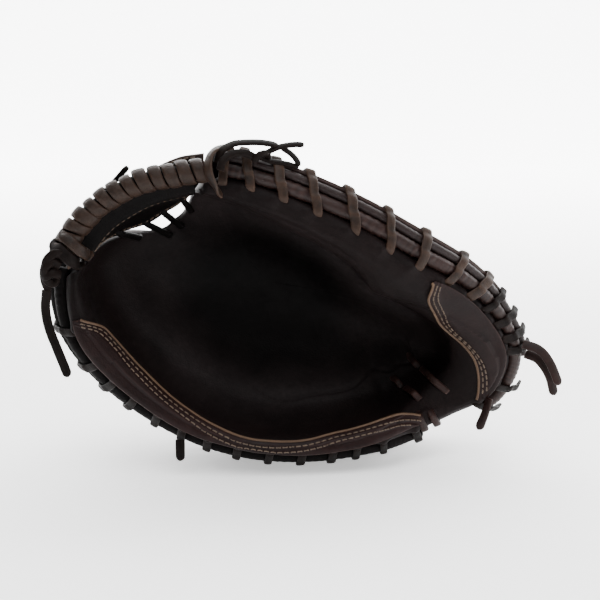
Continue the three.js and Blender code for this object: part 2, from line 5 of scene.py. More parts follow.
import bpy
import numpy as np
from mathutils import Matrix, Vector, noise

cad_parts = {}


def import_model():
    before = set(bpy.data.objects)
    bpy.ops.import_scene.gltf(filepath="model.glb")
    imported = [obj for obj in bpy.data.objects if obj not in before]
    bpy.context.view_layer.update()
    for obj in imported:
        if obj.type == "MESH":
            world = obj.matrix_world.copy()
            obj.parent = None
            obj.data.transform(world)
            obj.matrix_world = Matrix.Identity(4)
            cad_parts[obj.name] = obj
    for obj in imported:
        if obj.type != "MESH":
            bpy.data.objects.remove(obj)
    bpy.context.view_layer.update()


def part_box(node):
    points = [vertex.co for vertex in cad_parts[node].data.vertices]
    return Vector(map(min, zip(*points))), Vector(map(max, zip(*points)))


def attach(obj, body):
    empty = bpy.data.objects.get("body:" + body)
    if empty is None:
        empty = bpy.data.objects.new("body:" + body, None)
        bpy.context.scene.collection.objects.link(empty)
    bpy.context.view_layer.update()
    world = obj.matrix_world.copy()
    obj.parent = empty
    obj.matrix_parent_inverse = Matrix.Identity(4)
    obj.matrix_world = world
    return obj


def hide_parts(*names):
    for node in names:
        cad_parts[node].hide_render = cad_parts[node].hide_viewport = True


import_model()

# Driving sizes in millimetres, the same as in the CAD source.
LEATHER = 3
GAP = 0.4
POCKET_DEPTH = 112
POCKET_PAD = 11
HAND_ROOM_AT_POCKET = 7
BINDING_RADIUS = 4.3
WELT_RADIUS = 2.7
LACE_WIDTH = 6.2
LACE_THICKNESS = 2.2
PANEL_LEATHER = 1.6
PANEL_AT = 1
PIPING_RADIUS = 0.85
LIP_DROP = 12
BINDING_AT = 2 * GAP + BINDING_RADIUS
WELT_AT = 2 * BINDING_RADIUS + 5 * GAP + WELT_RADIUS
LAYERS = WELT_AT + WELT_RADIUS + 1.5 * GAP
BAR_RADIUS = 5.2
WEB_THICKNESS = 5
STRAP_THICKNESS = 3.5
POCKET = (-22, 106)
SPINE_MIDDLE = (-10, 106)
SPINE_HALF = 68
SPINE_SLOPE = -0.16
OUTER_TURN = 0.12
INNER_TURN = 0.26
BACK_JOINS = 0.34
# The share to either side of a place, between which a surface's direction is measured.
NEXT_TO = 0.01

COLUMNS = (
    "x", "z", "front", "tilt", "edge", "lip", "pad", "room", "deep_room", "square", "palm_from", "back_from",
)
RIM = {
    "finger_tip": (-50, 208, 5, 25, 15, 29, 10, 7, 9, 1.9, 0.0, 0.0),
    "finger_upper": (-12, 201, 2, 20, 17, 37, 14, 11, 14, 2.0, 0.0, 0.0),
    "finger_middle": (36, 181, 0, 20, 17, 40, 15, 11, 14, 2.1, 0.0, 0.0),
    "finger_lower": (79, 157, 3, 25, 17, 42, 16, 9, 13, 2.0, 0.0, 0.0),
    "knuckle": (113, 134, 10, 32, 16, 44, 18, 8, 13, 2.0, 0.0, 0.0),
    "heel_upper": (136, 105, 20, 38, 14, 46, 19, 9, 16, 1.9, 0.0, 0.05),
    "heel_corner": (147, 70, 30, 45, 11, 44, 20, 9, 17, 1.9, 0.0, 0.42),
    "heel_lower": (133, 39, 40, 50, 8, 38, 19, 8, 18, 1.9, 0.0, 0.66),
    "heel_middle": (104, 24, 42, 56, 6, 30, 16, 6, 22, 2.0, 0.0, 0.62),
    "crease": (78, 17, 30, 60, 5, 23, 13, 4, 36, 2.3, 0.0, 0.36),
    "thumb_heel": (50, 12, 12, 62, 5, 19, 11, 3, 48, 2.6, 0.0, 0.0),
    "thumb_middle": (6, 8, 3, 62, 5, 16, 10, 3, 52, 2.7, 0.0, 0.0),
    "thumb_upper": (-38, 12, 0, 62, 5, 15, 10, 3, 48, 2.7, 0.0, 0.0),
    "thumb_pad": (-80, 27, 0, 62, 5, 18, 10, 3, 30, 2.5, 0.0, 0.0),
    "thumb_corner": (-124, 57, 0, 60, 6, 22, 11, 3, 14, 2.3, 0.0, 0.0),
    "thumb_end": (-151, 91, 2, 56, 7, 22, 11, 4, 8, 2.1, 0.0, 0.0),
    "thumb_tip": (-157, 128, 5, 50, 8, 17, 8, 3, 5, 1.9, 0.0, 0.0),
    "web_thumb_end": (-147, 152, 8, 45, 8, 12, 5, 2, 1, 1.8, 0.42, 0.45),
    "web_left": (-130, 172, 8, 45, 8, 11, 4, 1, 1, 1.75, 0.64, 0.67),
    "web_middle": (-105, 188, 6, 45, 8, 11, 4, 1, 1, 1.75, 0.66, 0.69),
    "web_right": (-76, 196, 5, 45, 8, 12, 5, 1, 1, 1.8, 0.54, 0.57),
}
NAMES = list(RIM)
TABLE = np.array(list(RIM.values()), float)
STATIONS = len(NAMES)


def at(name):
    return NAMES.index(name)


def smooth_through(p0, p1, p2, p3, t):
    a = 2 * p1
    b = p2 - p0
    c = 2 * p0 - 5 * p1 + 4 * p2 - p3
    d = 3 * p1 - p0 - 3 * p2 + p3
    return (a + b * t + c * t * t + d * t**3) / 2


def section(s):
    """Every column of the rim at the places s, in stations, and what follows from them."""
    turn = np.asarray(s, float) % STATIONS
    first = np.floor(turn).astype(int)
    rows = [TABLE[(first + k) % STATIONS] for k in (-1, 0, 1, 2)]
    values = smooth_through(*rows, (turn - first)[..., None])
    r = {c: values[..., i] for i, c in enumerate(COLUMNS)}
    r["palm_from"] = np.maximum(0, r["palm_from"])
    r["back_from"] = np.maximum(0, r["back_from"])
    length = math.hypot(1, SPINE_SLOPE)
    along = (r["x"] - SPINE_MIDDLE[0] + (r["z"] - SPINE_MIDDLE[1]) * SPINE_SLOPE) / length / SPINE_HALF
    eased = along / (1 + along**4) ** 0.25 * SPINE_HALF
    r["aim_x"] = SPINE_MIDDLE[0] + eased / length
    r["aim_z"] = SPINE_MIDDLE[1] + eased * SPINE_SLOPE / length
    r["reach"] = np.hypot(r["aim_x"] - r["x"], r["aim_z"] - r["z"])
    tilt = np.radians(r["tilt"])
    r["outward"] = (-np.cos(tilt), np.sin(tilt))
    r["across"] = (np.sin(tilt), np.cos(tilt))
    r["ridge"] = r["edge"] + 1 + 7 * np.cos(tilt)
    r["set_back"] = 5 + 4 * np.sin(tilt)
    r["lip"] = np.maximum(r["lip"], r["ridge"] + 3)
    return r


def place(r, point):
    """A point of a section, as inset and depth, in space."""
    inset, depth = point
    share = inset / r["reach"]
    lean = share * share
    to_x = r["aim_x"] + (POCKET[0] - r["aim_x"]) * lean
    to_z = r["aim_z"] + (POCKET[1] - r["aim_z"]) * lean
    x = r["x"] + (to_x - r["x"]) * share
    z = r["z"] + (to_z - r["z"]) * share
    return np.stack(np.broadcast_arrays(x, depth, z), -1)


def palm_face(r, share):
    """The palm's face: the outer turn of the lip, its inner turn, and the wall down to the pocket."""
    a = np.clip(share / OUTER_TURN, 0, 1) * math.pi / 2
    b = np.clip((share - OUTER_TURN) / (INNER_TURN - OUTER_TURN), 0, 1) * math.pi / 2
    c = np.clip((share - INNER_TURN) / (1 - INNER_TURN), 0, 1) * math.pi / 2
    power = 2 / r["square"]
    start = r["front"] + LIP_DROP
    outer = (
        r["ridge"] - (r["ridge"] - r["edge"]) * np.cos(a),
        r["front"] + r["set_back"] * (1 - np.sin(a)),
    )
    inner = (r["ridge"] + (r["lip"] - r["ridge"]) * np.sin(b), r["front"] + LIP_DROP * (1 - np.cos(b)))
    wall = (
        r["lip"] + (r["reach"] - r["lip"]) * (1 - np.maximum(0, np.cos(c)) ** power),
        start + (POCKET_DEPTH - start) * np.sin(c) ** power,
    )
    pick = [share < OUTER_TURN, share < INNER_TURN]
    return tuple(np.select(pick, [outer[k], inner[k]], wall[k]) for k in (0, 1))


def square_to(start, end, point, distance):
    """A point of a section, moved to the pocket's side of the line from start to end."""
    d_inset, d_depth = end[0] - start[0], end[1] - start[1]
    length = np.hypot(d_inset, d_depth)
    return point[0] + d_depth / length * distance, point[1] - d_inset / length * distance


def proud_section(r, share, distance, lowest=0):
    """The palm's face, moved towards the pocket."""
    before = palm_face(r, np.maximum(lowest, share - NEXT_TO))
    after = palm_face(r, np.minimum(1, share + NEXT_TO))
    return square_to(before, after, palm_face(r, share), distance)


def offset_wall(r, share, distance):
    """The wall, moved away from the pocket."""
    return proud_section(r, share, -distance, INNER_TURN)


def mix(a, b, t):
    return a + (b - a) * t


def down(share):
    return np.maximum(0, (share - INNER_TURN) / (1 - INNER_TURN))


def edge_layer(r, outward, across=0.0):
    edge = palm_face(r, np.zeros_like(r["x"]))
    return tuple(edge[k] + r["outward"][k] * outward + r["across"][k] * across for k in (0, 1))


def clear_of_edge(r, point, margin):
    edge = palm_face(r, np.zeros_like(r["x"]))
    inset, depth = point[0] - edge[0], point[1] - edge[1]
    outward = inset * r["outward"][0] + depth * r["outward"][1]
    across = inset * r["across"][0] + depth * r["across"][1]
    moved = edge_layer(r, outward, np.maximum(across, BINDING_RADIUS + margin))
    free = (outward < -2) | (outward > LAYERS - GAP)
    return tuple(np.where(free, point[k], moved[k]) for k in (0, 1))


def pad_back(r, share):
    thickness = mix(r["pad"], POCKET_PAD, down(share))
    wall = offset_wall(r, np.maximum(share, INNER_TURN), thickness)
    start = edge_layer(r, 0, LEATHER)
    t = np.minimum(1, share / INNER_TURN)
    point = tuple(mix(start[k], wall[k], t) for k in (0, 1))
    kept = clear_of_edge(r, point, 3 * GAP)
    return tuple(np.where(share <= 0, start[k], kept[k]) for k in (0, 1))


def back_distance(r, share):
    t = down(share)
    room = r["room"] * (1 - t) ** 2 + 2 * r["deep_room"] * t * (1 - t) + HAND_ROOM_AT_POCKET * t * t
    return mix(r["pad"], POCKET_PAD, t) + np.maximum(GAP, room)


def back_face(r, share, leather):
    wall = np.maximum(share, BACK_JOINS)
    point = offset_wall(r, wall, back_distance(r, wall) + leather)
    start = edge_layer(r, LAYERS + leather, 0.3 * (LEATHER - leather))
    t = np.minimum(1, share / BACK_JOINS)
    return tuple(mix(start[k], point[k], t) for k in (0, 1))


def rested(points, height):
    points[..., 2] = np.maximum(points[..., 2], height)
    return points


def lengths_along(points):
    """The length along each line of points, up to every point of it."""
    steps = np.linalg.norm(np.diff(points, axis=-2), axis=-1)
    return np.concatenate([np.zeros_like(steps[..., :1]), np.cumsum(steps, -1)], -1)


def read_off(values, places, wanted):
    """Points at the wanted places, between the ones that lie at the given places."""
    return np.stack([np.interp(wanted, places, values[:, k]) for k in range(3)], -1)


# Places along the rim by length, from the finger tip.
FINE = 12
rim = section(np.arange(STATIONS * FINE + 1) / FINE)
RIM_LENGTHS = lengths_along(np.stack([rim["x"], rim["z"]], -1))


def along_rim(length):
    return np.interp(length, RIM_LENGTHS, np.arange(len(RIM_LENGTHS)) / FINE)


def palm_places(fine, coarse):
    """The CAD's places along the rim, with more of them at the crease and the crotch."""
    found = []
    for s in range(STATIONS):
        at_crease = at("heel_corner") <= s < at("thumb_middle")
        at_crotch = at("thumb_tip") <= s < at("web_left")
        parts = fine if at_crease or at_crotch else coarse
        found += [s + k / parts for k in range(parts)]
    return np.array(found)


CAD_SHARES = np.array([0, 0.06, 0.12, 0.19, 0.26, 0.36, 0.46, 0.56, 0.66, 0.76, 0.87, 1])
PALM_FLOOR = LEATHER + 2 * GAP


def palm_grid(places, shares):
    r = section(places[:, None])
    share = r["palm_from"] + (1 - r["palm_from"]) * shares[None, :]
    return r, share


def cad_shift():
    """The CAD puts its origin below the middle of its box: the palm's lowest corner gives the shift."""
    r, share = palm_grid(palm_places(6, 3), CAD_SHARES)
    face = place(r, palm_face(r, share)).reshape(-1, 3)
    hidden = rested(place(r, pad_back(r, share)), PALM_FLOOR).reshape(-1, 3)
    return np.array(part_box("palm")[0]) * 1000 - np.concatenate([face, hidden]).min(0)


SHIFT = cad_shift()


def world(points):
    return (np.asarray(points, float) + SHIFT) / 1000


def add_object(name, data):
    made = bpy.data.objects.new(name, data)
    bpy.context.scene.collection.objects.link(made)
    return made


def aim(made, where, towards):
    """Puts a camera or a lamp in its place, to look at a point."""
    made.location = where
    made.rotation_euler = (Vector(towards) - Vector(where)).to_track_quat("-Z", "Y").to_euler()


# Camera

ELEVATION = math.radians(12)
DISTANCE = 1.6
MM_PER_PIXEL = 0.65
IMAGE_WIDTH = 600
PIXELS_UP = 3
SENSOR = 36
LOOK_AT = Vector(world((0, 40, 106)))
camera_data = bpy.data.cameras.new("camera")
camera_data.sensor_width = SENSOR
camera_data.lens = SENSOR * DISTANCE * 1000 / (MM_PER_PIXEL * IMAGE_WIDTH)
camera_data.shift_y = PIXELS_UP / IMAGE_WIDTH
camera = add_object("camera", camera_data)
aim(camera, LOOK_AT + Vector((0, -math.cos(ELEVATION), math.sin(ELEVATION))) * DISTANCE, LOOK_AT)
bpy.context.scene.camera = camera


# Materials


def node(tree, kind, **values):
    n = tree.nodes.new(kind)
    for key, value in values.items():
        if hasattr(n, key):
            setattr(n, key, value)
        else:
            n.inputs[key.replace("_", " ")].default_value = value
    return n


def ramp(tree, source, low, high, at_low=0.3, at_high=0.7):
    n = tree.nodes.new("ShaderNodeValToRGB")
    n.color_ramp.elements[0].position = at_low
    n.color_ramp.elements[1].position = at_high
    n.color_ramp.elements[0].color = (*low, 1)
    n.color_ramp.elements[1].color = (*high, 1)
    tree.links.new(source, n.inputs["Fac"])
    return n.outputs["Color"]


def new_material(name):
    """A material, its nodes, its shader, and the places in the object."""
    material = bpy.data.materials.new(name)
    material.use_nodes = True
    tree = material.node_tree
    coords = tree.nodes.new("ShaderNodeTexCoord").outputs["Object"]
    return material, tree, tree.nodes["Principled BSDF"], coords


def mixed(tree, blend, share, first, second):
    """Two colours mixed. The share and the second one can be a value or a node's output."""
    n = node(tree, "ShaderNodeMix", data_type="RGBA", blend_type=blend)
    for place_of, source in ((0, share), (6, first), (7, second)):
        if isinstance(source, bpy.types.NodeSocket):
            tree.links.new(source, n.inputs[place_of])
        else:
            n.inputs[place_of].default_value = source
    return n.outputs[2]


def bumped(tree, height, strength, distance, below=None):
    """The normal of a surface with a height on it, over the bumps below if there are any."""
    n = node(tree, "ShaderNodeBump", Strength=strength, Distance=distance)
    tree.links.new(height, n.inputs["Height"])
    if below is not None:
        tree.links.new(below, n.inputs["Normal"])
    return n.outputs["Normal"]


# Metres from the bottom of the pocket at which painted shade sets the palm's colour: its darkened middle,
# its walls and the darkened lip.
PAINTED_SHADE_AT = (0.035, 0.08, 0.125)


def leather(
    name, dark, light, worn=None, roughness=0.5, grain=1.0, pores=900, specular=0.4, patch=22, painted_shade=None
):
    """Dyed leather: patchy colour, rubbed edges in the worn colour, pebbled grain with fine pores.

    The last argument is how much of the colour painted shade leaves in the middle of the pocket, on the
    walls round it, and at the lip.
    """
    material, tree, shader, place_in = new_material(name)
    link = tree.links.new

    def pattern(kind, scale, **values):
        n = node(tree, kind, Scale=scale, **values)
        link(place_in, n.inputs["Vector"])
        return n

    patches = pattern("ShaderNodeTexNoise", patch, Detail=5, Roughness=0.6)
    colour = ramp(tree, patches.outputs["Fac"], dark, light, 0.32, 0.7)
    specks = pattern("ShaderNodeTexNoise", 420, Detail=3)
    speckled = ramp(tree, specks.outputs["Fac"], (0.55, 0.55, 0.55), (1, 1, 1), 0.35, 0.6)
    colour = mixed(tree, "MULTIPLY", 0.5, colour, speckled)
    # Painted shade: the colour is darkened in the middle of the pocket and at the lip.
    if painted_shade is not None:
        far = node(tree, "ShaderNodeVectorMath", operation="DISTANCE")
        link(place_in, far.inputs[0])
        far.inputs[1].default_value = world((POCKET[0], POCKET_DEPTH, POCKET[1]))
        left = tree.nodes.new("ShaderNodeValToRGB")
        left.color_ramp.interpolation = "EASE"
        left.color_ramp.elements.new(PAINTED_SHADE_AT[1])
        for stop, place_of, kept in zip(left.color_ramp.elements, PAINTED_SHADE_AT, painted_shade):
            stop.position = place_of
            stop.color = (*kept, 1)
        link(far.outputs["Value"], left.inputs["Fac"])
        colour = mixed(tree, "MULTIPLY", 1.0, colour, left.outputs["Color"])
    if worn is not None:
        edges = tree.nodes.new("ShaderNodeNewGeometry").outputs["Pointiness"]
        rubbed = ramp(tree, edges, (0, 0, 0), (1, 1, 1), 0.515, 0.6)
        colour = mixed(tree, "MIX", rubbed, colour, (*worn, 1))
    link(colour, shader.inputs["Base Color"])

    smears = pattern("ShaderNodeTexNoise", 60, Detail=4)
    spread = node(tree, "ShaderNodeMapRange")
    spread.inputs["To Min"].default_value = roughness - 0.1
    spread.inputs["To Max"].default_value = roughness + 0.12
    link(smears.outputs["Fac"], spread.inputs["Value"])
    link(spread.outputs["Result"], shader.inputs["Roughness"])
    shader.inputs["Specular IOR Level"].default_value = specular

    pebbles = pattern("ShaderNodeTexVoronoi", pores, feature="SMOOTH_F1", Smoothness=0.6)
    creases = pattern("ShaderNodeTexNoise", 160, Detail=6, Roughness=0.65)
    creased = bumped(tree, creases.outputs["Fac"], 0.35 * grain, 0.0012)
    pebbled = bumped(tree, pebbles.outputs["Distance"], 0.3 * grain, 0.0004, creased)
    link(pebbled, shader.inputs["Normal"])
    return material


def thread(name, colour):
    """Waxed thread: two plies, seen as fine slanting stripes."""
    material, tree, shader, coords = new_material(name)
    plies = node(tree, "ShaderNodeTexWave", Scale=700, Distortion=1.5)
    tree.links.new(coords, plies.inputs["Vector"])
    dark = tuple(c * 0.45 for c in colour)
    tree.links.new(ramp(tree, plies.outputs["Fac"], dark, colour, 0.2, 0.8), shader.inputs["Base Color"])
    shader.inputs["Roughness"].default_value = 0.6
    tree.links.new(bumped(tree, plies.outputs["Fac"], 0.4, 0.0002), shader.inputs["Normal"])
    return material


# The palm's colour is darkened by painted shade in the middle of the pocket and at the lip.
PALM = leather(
    "palm_leather", (0.0078, 0.006, 0.0061), (0.0175, 0.0131, 0.0132), roughness=0.6, grain=0.9, pores=1000,
    specular=0.08, painted_shade=((0.2, 0.2, 0.2), (1, 1, 1), (0.42, 0.31, 0.3)),
)
SHELL = leather(
    "shell_leather", (0.0045, 0.0026, 0.0027), (0.0105, 0.0054, 0.0052), worn=(0.028, 0.015, 0.013),
    roughness=0.48, specular=0.2,
)
# Painted shade: a much darker copy of the leather, for the web, the crotch laces and the thumb's rolls,
# which lie in shadow.
SHADED_LEATHER = leather(
    "web_leather", (0.0012, 0.0008, 0.0008), (0.0027, 0.0016, 0.0016), roughness=0.64, specular=0.07,
)
BINDING = leather(
    "binding_leather", (0.0075, 0.0032, 0.0028), (0.019, 0.0083, 0.007), worn=(0.043, 0.0215, 0.0165),
    roughness=0.46, grain=0.9, specular=0.2,
)
PANEL = leather(
    "panel_leather", (0.0054, 0.002, 0.0019), (0.0132, 0.0051, 0.0046), worn=(0.026, 0.0122, 0.0102),
    roughness=0.46, grain=0.8, pores=1100, specular=0.12,
)
LACE = leather(
    "lace_leather", (0.0052, 0.0026, 0.0016), (0.0265, 0.0128, 0.0072), worn=(0.048, 0.0255, 0.0155),
    roughness=0.52, grain=0.9, pores=1300, specular=0.17, patch=75,
)
# Painted shade: a darker copy of the lace, for the laces, knots and loose ends that lie in shadow.
SHADED_LACE = leather(
    "shaded_lace_leather", (0.0014, 0.0008, 0.0007), (0.0045, 0.0023, 0.0018), worn=(0.0105, 0.0058, 0.0044),
    roughness=0.56, grain=0.8, pores=1300, specular=0.07, patch=75,
)
# Painted shade: a darker, redder copy of the lace, for the hinge laces, the crease loops and the heel's
# loose ends.
SHADED_RED_LACE = leather(
    "shaded_red_lace_leather", (0.005, 0.0022, 0.002), (0.0165, 0.0072, 0.006), worn=(0.034, 0.016, 0.0125),
    roughness=0.5, grain=0.8, pores=1300, specular=0.15, patch=75,
)
WRAP_LACE = leather(
    "wrap_leather", (0.0018, 0.001, 0.0007), (0.0165, 0.008, 0.0048), worn=(0.039, 0.0205, 0.0125),
    roughness=0.52, grain=1.4, pores=1300, specular=0.17, patch=150,
)
PIPING = leather(
    "piping_leather", (0.022, 0.0115, 0.0065), (0.058, 0.031, 0.0175), worn=(0.115, 0.07, 0.042),
    roughness=0.5, grain=0.6, pores=1300, specular=0.2,
)
THREAD = thread("thread", (0.1, 0.064, 0.039))


# Meshes


def smooth_mesh(name, points, faces, material):
    mesh = bpy.data.meshes.new(name)
    mesh.from_pydata(points, [], faces)
    mesh.validate()
    mesh.update()
    mesh.polygons.foreach_set("use_smooth", [True] * len(mesh.polygons))
    mesh.materials.append(material)
    return add_object(name, mesh)


def piece(name, points, faces, material, *nodes):
    """A smooth-shaded piece in the row frame, standing for the CAD nodes named."""
    made = smooth_mesh(name, world(points).tolist(), faces, material)
    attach(made, "root")
    if nodes:
        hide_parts(*nodes)
    return made


def loft(rings, caps=True, start=0):
    """Faces over a grid of points, rings by points of a ring."""
    rows, columns = rings
    faces = []
    for i in range(rows - 1):
        k = i + 1
        for j in range(columns):
            m = (j + 1) % columns
            corners = ((i, j), (k, j), (k, m), (i, m))
            faces.append(tuple(start + row * columns + column for row, column in corners))
    if caps:
        faces.append(tuple(start + j for j in range(columns)))
        faces.append(tuple(start + (rows - 1) * columns + j for j in reversed(range(columns))))
    return faces


def outward_facing(points, faces):
    """Turns a closed mesh's faces to face out."""
    volume = 0.0
    for f in faces:
        a = points[f[0]]
        for b, c in zip(f[1:-1], f[2:]):
            volume += np.dot(a, np.cross(points[b], points[c]))
    return faces if volume > 0 else [tuple(reversed(f)) for f in faces]


def closed_sheet(name, face, other, material, *nodes):
    """A sheet between two grids of points, with its rims closed."""
    rows, columns = face.shape[:2]
    rings = np.concatenate([face, other[:, ::-1]], 1)
    points = rings.reshape(-1, 3)
    round_it = 2 * columns
    faces = loft((rows, round_it), caps=False)
    for row, turn in ((0, 1), (rows - 1, -1)):
        for j in range(columns - 1):
            m = round_it - 1 - j
            quad = tuple(row * round_it + k for k in (j, j + 1, m - 1, m))
            faces.append(quad[::turn])
    return piece(name, points, outward_facing(points, faces), material, *nodes)


def ring_piece(name, rings, material, *nodes):
    """A piece lofted through rings of points, with both ends closed."""
    points = rings.reshape(-1, 3)
    return piece(name, points, outward_facing(points, loft(rings.shape[:2])), material, *nodes)


def smooth_curve(points, count):
    """count points, evenly spread on a smooth curve through the given ones."""
    p = np.asarray(points, float)
    p = np.concatenate([[2 * p[0] - p[1]], p, [2 * p[-1] - p[-2]]])
    t = np.linspace(0, 1, 17)[:, None]
    fine = [smooth_through(*p[i : i + 4], t[: -1 if i < len(p) - 4 else None]) for i in range(len(p) - 3)]
    fine = np.concatenate(fine)
    length = lengths_along(fine)
    return read_off(fine, length, np.linspace(0, length[-1], count))


def unit(v):
    return v / np.maximum(1e-9, np.linalg.norm(v, axis=-1, keepdims=True))


def directions(path):
    return unit(np.gradient(path, axis=0))


LACE_SIDES = 16


def band(path, side, width, thickness, crown=0.0, twist=0.0):
    """The points of a flat lace with rounded edges along a path. side is its width's direction."""
    along = directions(path)
    flat = unit(side - along * np.sum(side * along, 1, keepdims=True))
    up = np.cross(along, flat)
    if np.any(twist):
        c, s = np.cos(twist)[:, None], np.sin(twist)[:, None]
        flat, up = flat * c + up * s, up * c - flat * s
    angles = circle(LACE_SIDES)
    across = np.sign(np.cos(angles)) * np.abs(np.cos(angles)) ** 0.45
    through = np.sign(np.sin(angles)) * np.abs(np.sin(angles)) ** 0.8
    w = np.broadcast_to(width, len(path))[:, None, None] / 2
    h = np.broadcast_to(thickness, len(path))[:, None, None] / 2
    bulge = crown * (1 - across**2)[None, :, None] * np.sign(through)[None, :, None]
    return path[:, None] + flat[:, None] * across[None, :, None] * w + up[:, None] * (
        through[None, :, None] * h + bulge
    )


def rounded_tip(path, width):
    """The widths of a lace whose far end is cut round."""
    length = lengths_along(path)
    left = length[-1] - length
    tip = width * 0.55
    return width * np.sqrt(np.clip(1 - (1 - left / tip) ** 2 * (left < tip), 0.02, 1))


def band_piece(
    name, path, side, material, *nodes, width=LACE_WIDTH, thickness=LACE_THICKNESS, crown=0.2, twist=0.0
):
    return ring_piece(name, band(path, side, width, thickness, crown, twist), material, *nodes)


def circle(count):
    """Angles evenly spread round a circle."""
    return np.linspace(0, 2 * math.pi, count, endpoint=False)


def tube_rings(path, radius, count=14):
    """Rings of a tube along a path. radius is one number, or one for each point."""
    along = directions(path)
    side = unit(np.cross(along, np.array([0.02, 1.0, 0.05])))
    up = np.cross(along, side)
    angles = circle(count)
    ring = side[:, None] * np.cos(angles)[None, :, None] + up[:, None] * np.sin(angles)[None, :, None]
    return path[:, None] + ring * np.broadcast_to(radius, (len(path), count))[..., None]


def wavy(points, size, amount, seed=0.0):
    """Smooth noise at each point, from -amount to amount."""
    flat = points.reshape(-1, 3)
    values = [noise.noise(Vector(p / size) + Vector((seed, seed * 1.7, -seed))) for p in flat]
    return np.array(values).reshape(points.shape[:-1]) * amount


# The soft unevenness of each leather: size and height of its waves in millimetres, and their seed.
WAVES = {
    "palm": ((48, 1.3, 3.1), (17, 0.45, 8.2)),
    "panel": ((26, 0.8, 5.0), (9, 0.2, 1.0)),
    "back": ((40, 1.2, 12.0), (14, 0.35, 2.0)),
    "strap": ((18, 0.6, 6.0),),
    "web": ((22, 0.9, 9.0),),
    "band": ((14, 0.4, 7.0),),
}


def uneven(points, leather_kind):
    return sum(wavy(points, *wave) for wave in WAVES[leather_kind])


def near(value, centre, width):
    """1 at the centre, and close to 0 from about twice the width."""
    return np.exp(-(((value - centre) / width) ** 2))


def smooth_step(t):
    t = np.clip(t, 0, 1)
    return t * t * (3 - 2 * t)


def inside(value, start, end, rise, fall=None):
    """0 at both ends of a stretch and 1 further in. rise and fall are the widths of the two slopes."""
    return smooth_step((value - start) / rise) * smooth_step((end - value) / (fall or rise))


# Cords: the two hanging ends of the thumb lace come first.

STEPS_A_POINT = 26
# The way each loose end's flat side looks at its start, and its points in space.
ENDS = {
    "thumb_tail_up": ((0, 1, 0), [
        (-157, 16, 145), (-145, 18, 159), (-132, 18, 175), (-120, 18, 187), (-109, 18, 199)]),
    "thumb_tail_down": ((-0.5, -1, 0), [
        (-160, -3.5, 123.5), (-161, -2.5, 111), (-159, -3, 99), (-154, -5, 86), (-150, -6, 76),
        (-147, -7, 68)]),
    "heel_tail_1": ((0, -1, 1), [(145, 34, 80), (155, 31, 77), (162, 28, 69), (168, 24, 55)]),
    "heel_tail_2": ((0, -1, 1), [
        (147.1, 38.5, 72.6), (155.5, 35.5, 69), (162.3, 33, 59), (165.6, 31, 46.5)]),
    "heel_lower_tail": ((0, -1, 0.5), [(124, 36.6, 43), (121, 35.5, 33), (117, 36.5, 22)]),
    "thumb_lower_tail": ((0, -1, 0), [(-77, 4, 24), (-77, 3, 18), (-77, 4, 10)]),
}


def end_of_lace(name, turn):
    """A loose end of lace with a round tip. turn is how far it twists, in degrees, from start to tip."""
    facing, points = ENDS[name]
    path = smooth_curve(points, STEPS_A_POINT * len(points))
    side = np.cross(directions(path), np.array(facing, float))
    twist = np.radians(np.interp(np.linspace(0, 1, len(path)), np.linspace(0, 1, len(turn)), turn))
    width = rounded_tip(path, LACE_WIDTH)
    # Heel ends are of the redder lace and the others of the darker lace: both are darkened as painted shade.
    material = SHADED_RED_LACE if name.startswith("heel") else SHADED_LACE
    made = band_piece(name + "_leather", path, side, material, name, width=width, twist=twist)
    return made, path, lengths_along(path)[-1]


# Degrees that each loose end is twisted, at even steps from its start to its tip.
CORD_TURNS = {"thumb_tail_up": (70, 80, 72, 60), "thumb_tail_down": (-22, -22, -20, -18)}
END_TURNS = {
    "heel_tail_1": (20, 0, -15), "heel_tail_2": (25, 0, -10), "heel_lower_tail": (55, 35, 15),
    "thumb_lower_tail": (0, 10, 15),
}
for name, turn in CORD_TURNS.items():
    tail, route, length = end_of_lace(name, turn)
for name, turn in END_TURNS.items():
    end_of_lace(name, turn)

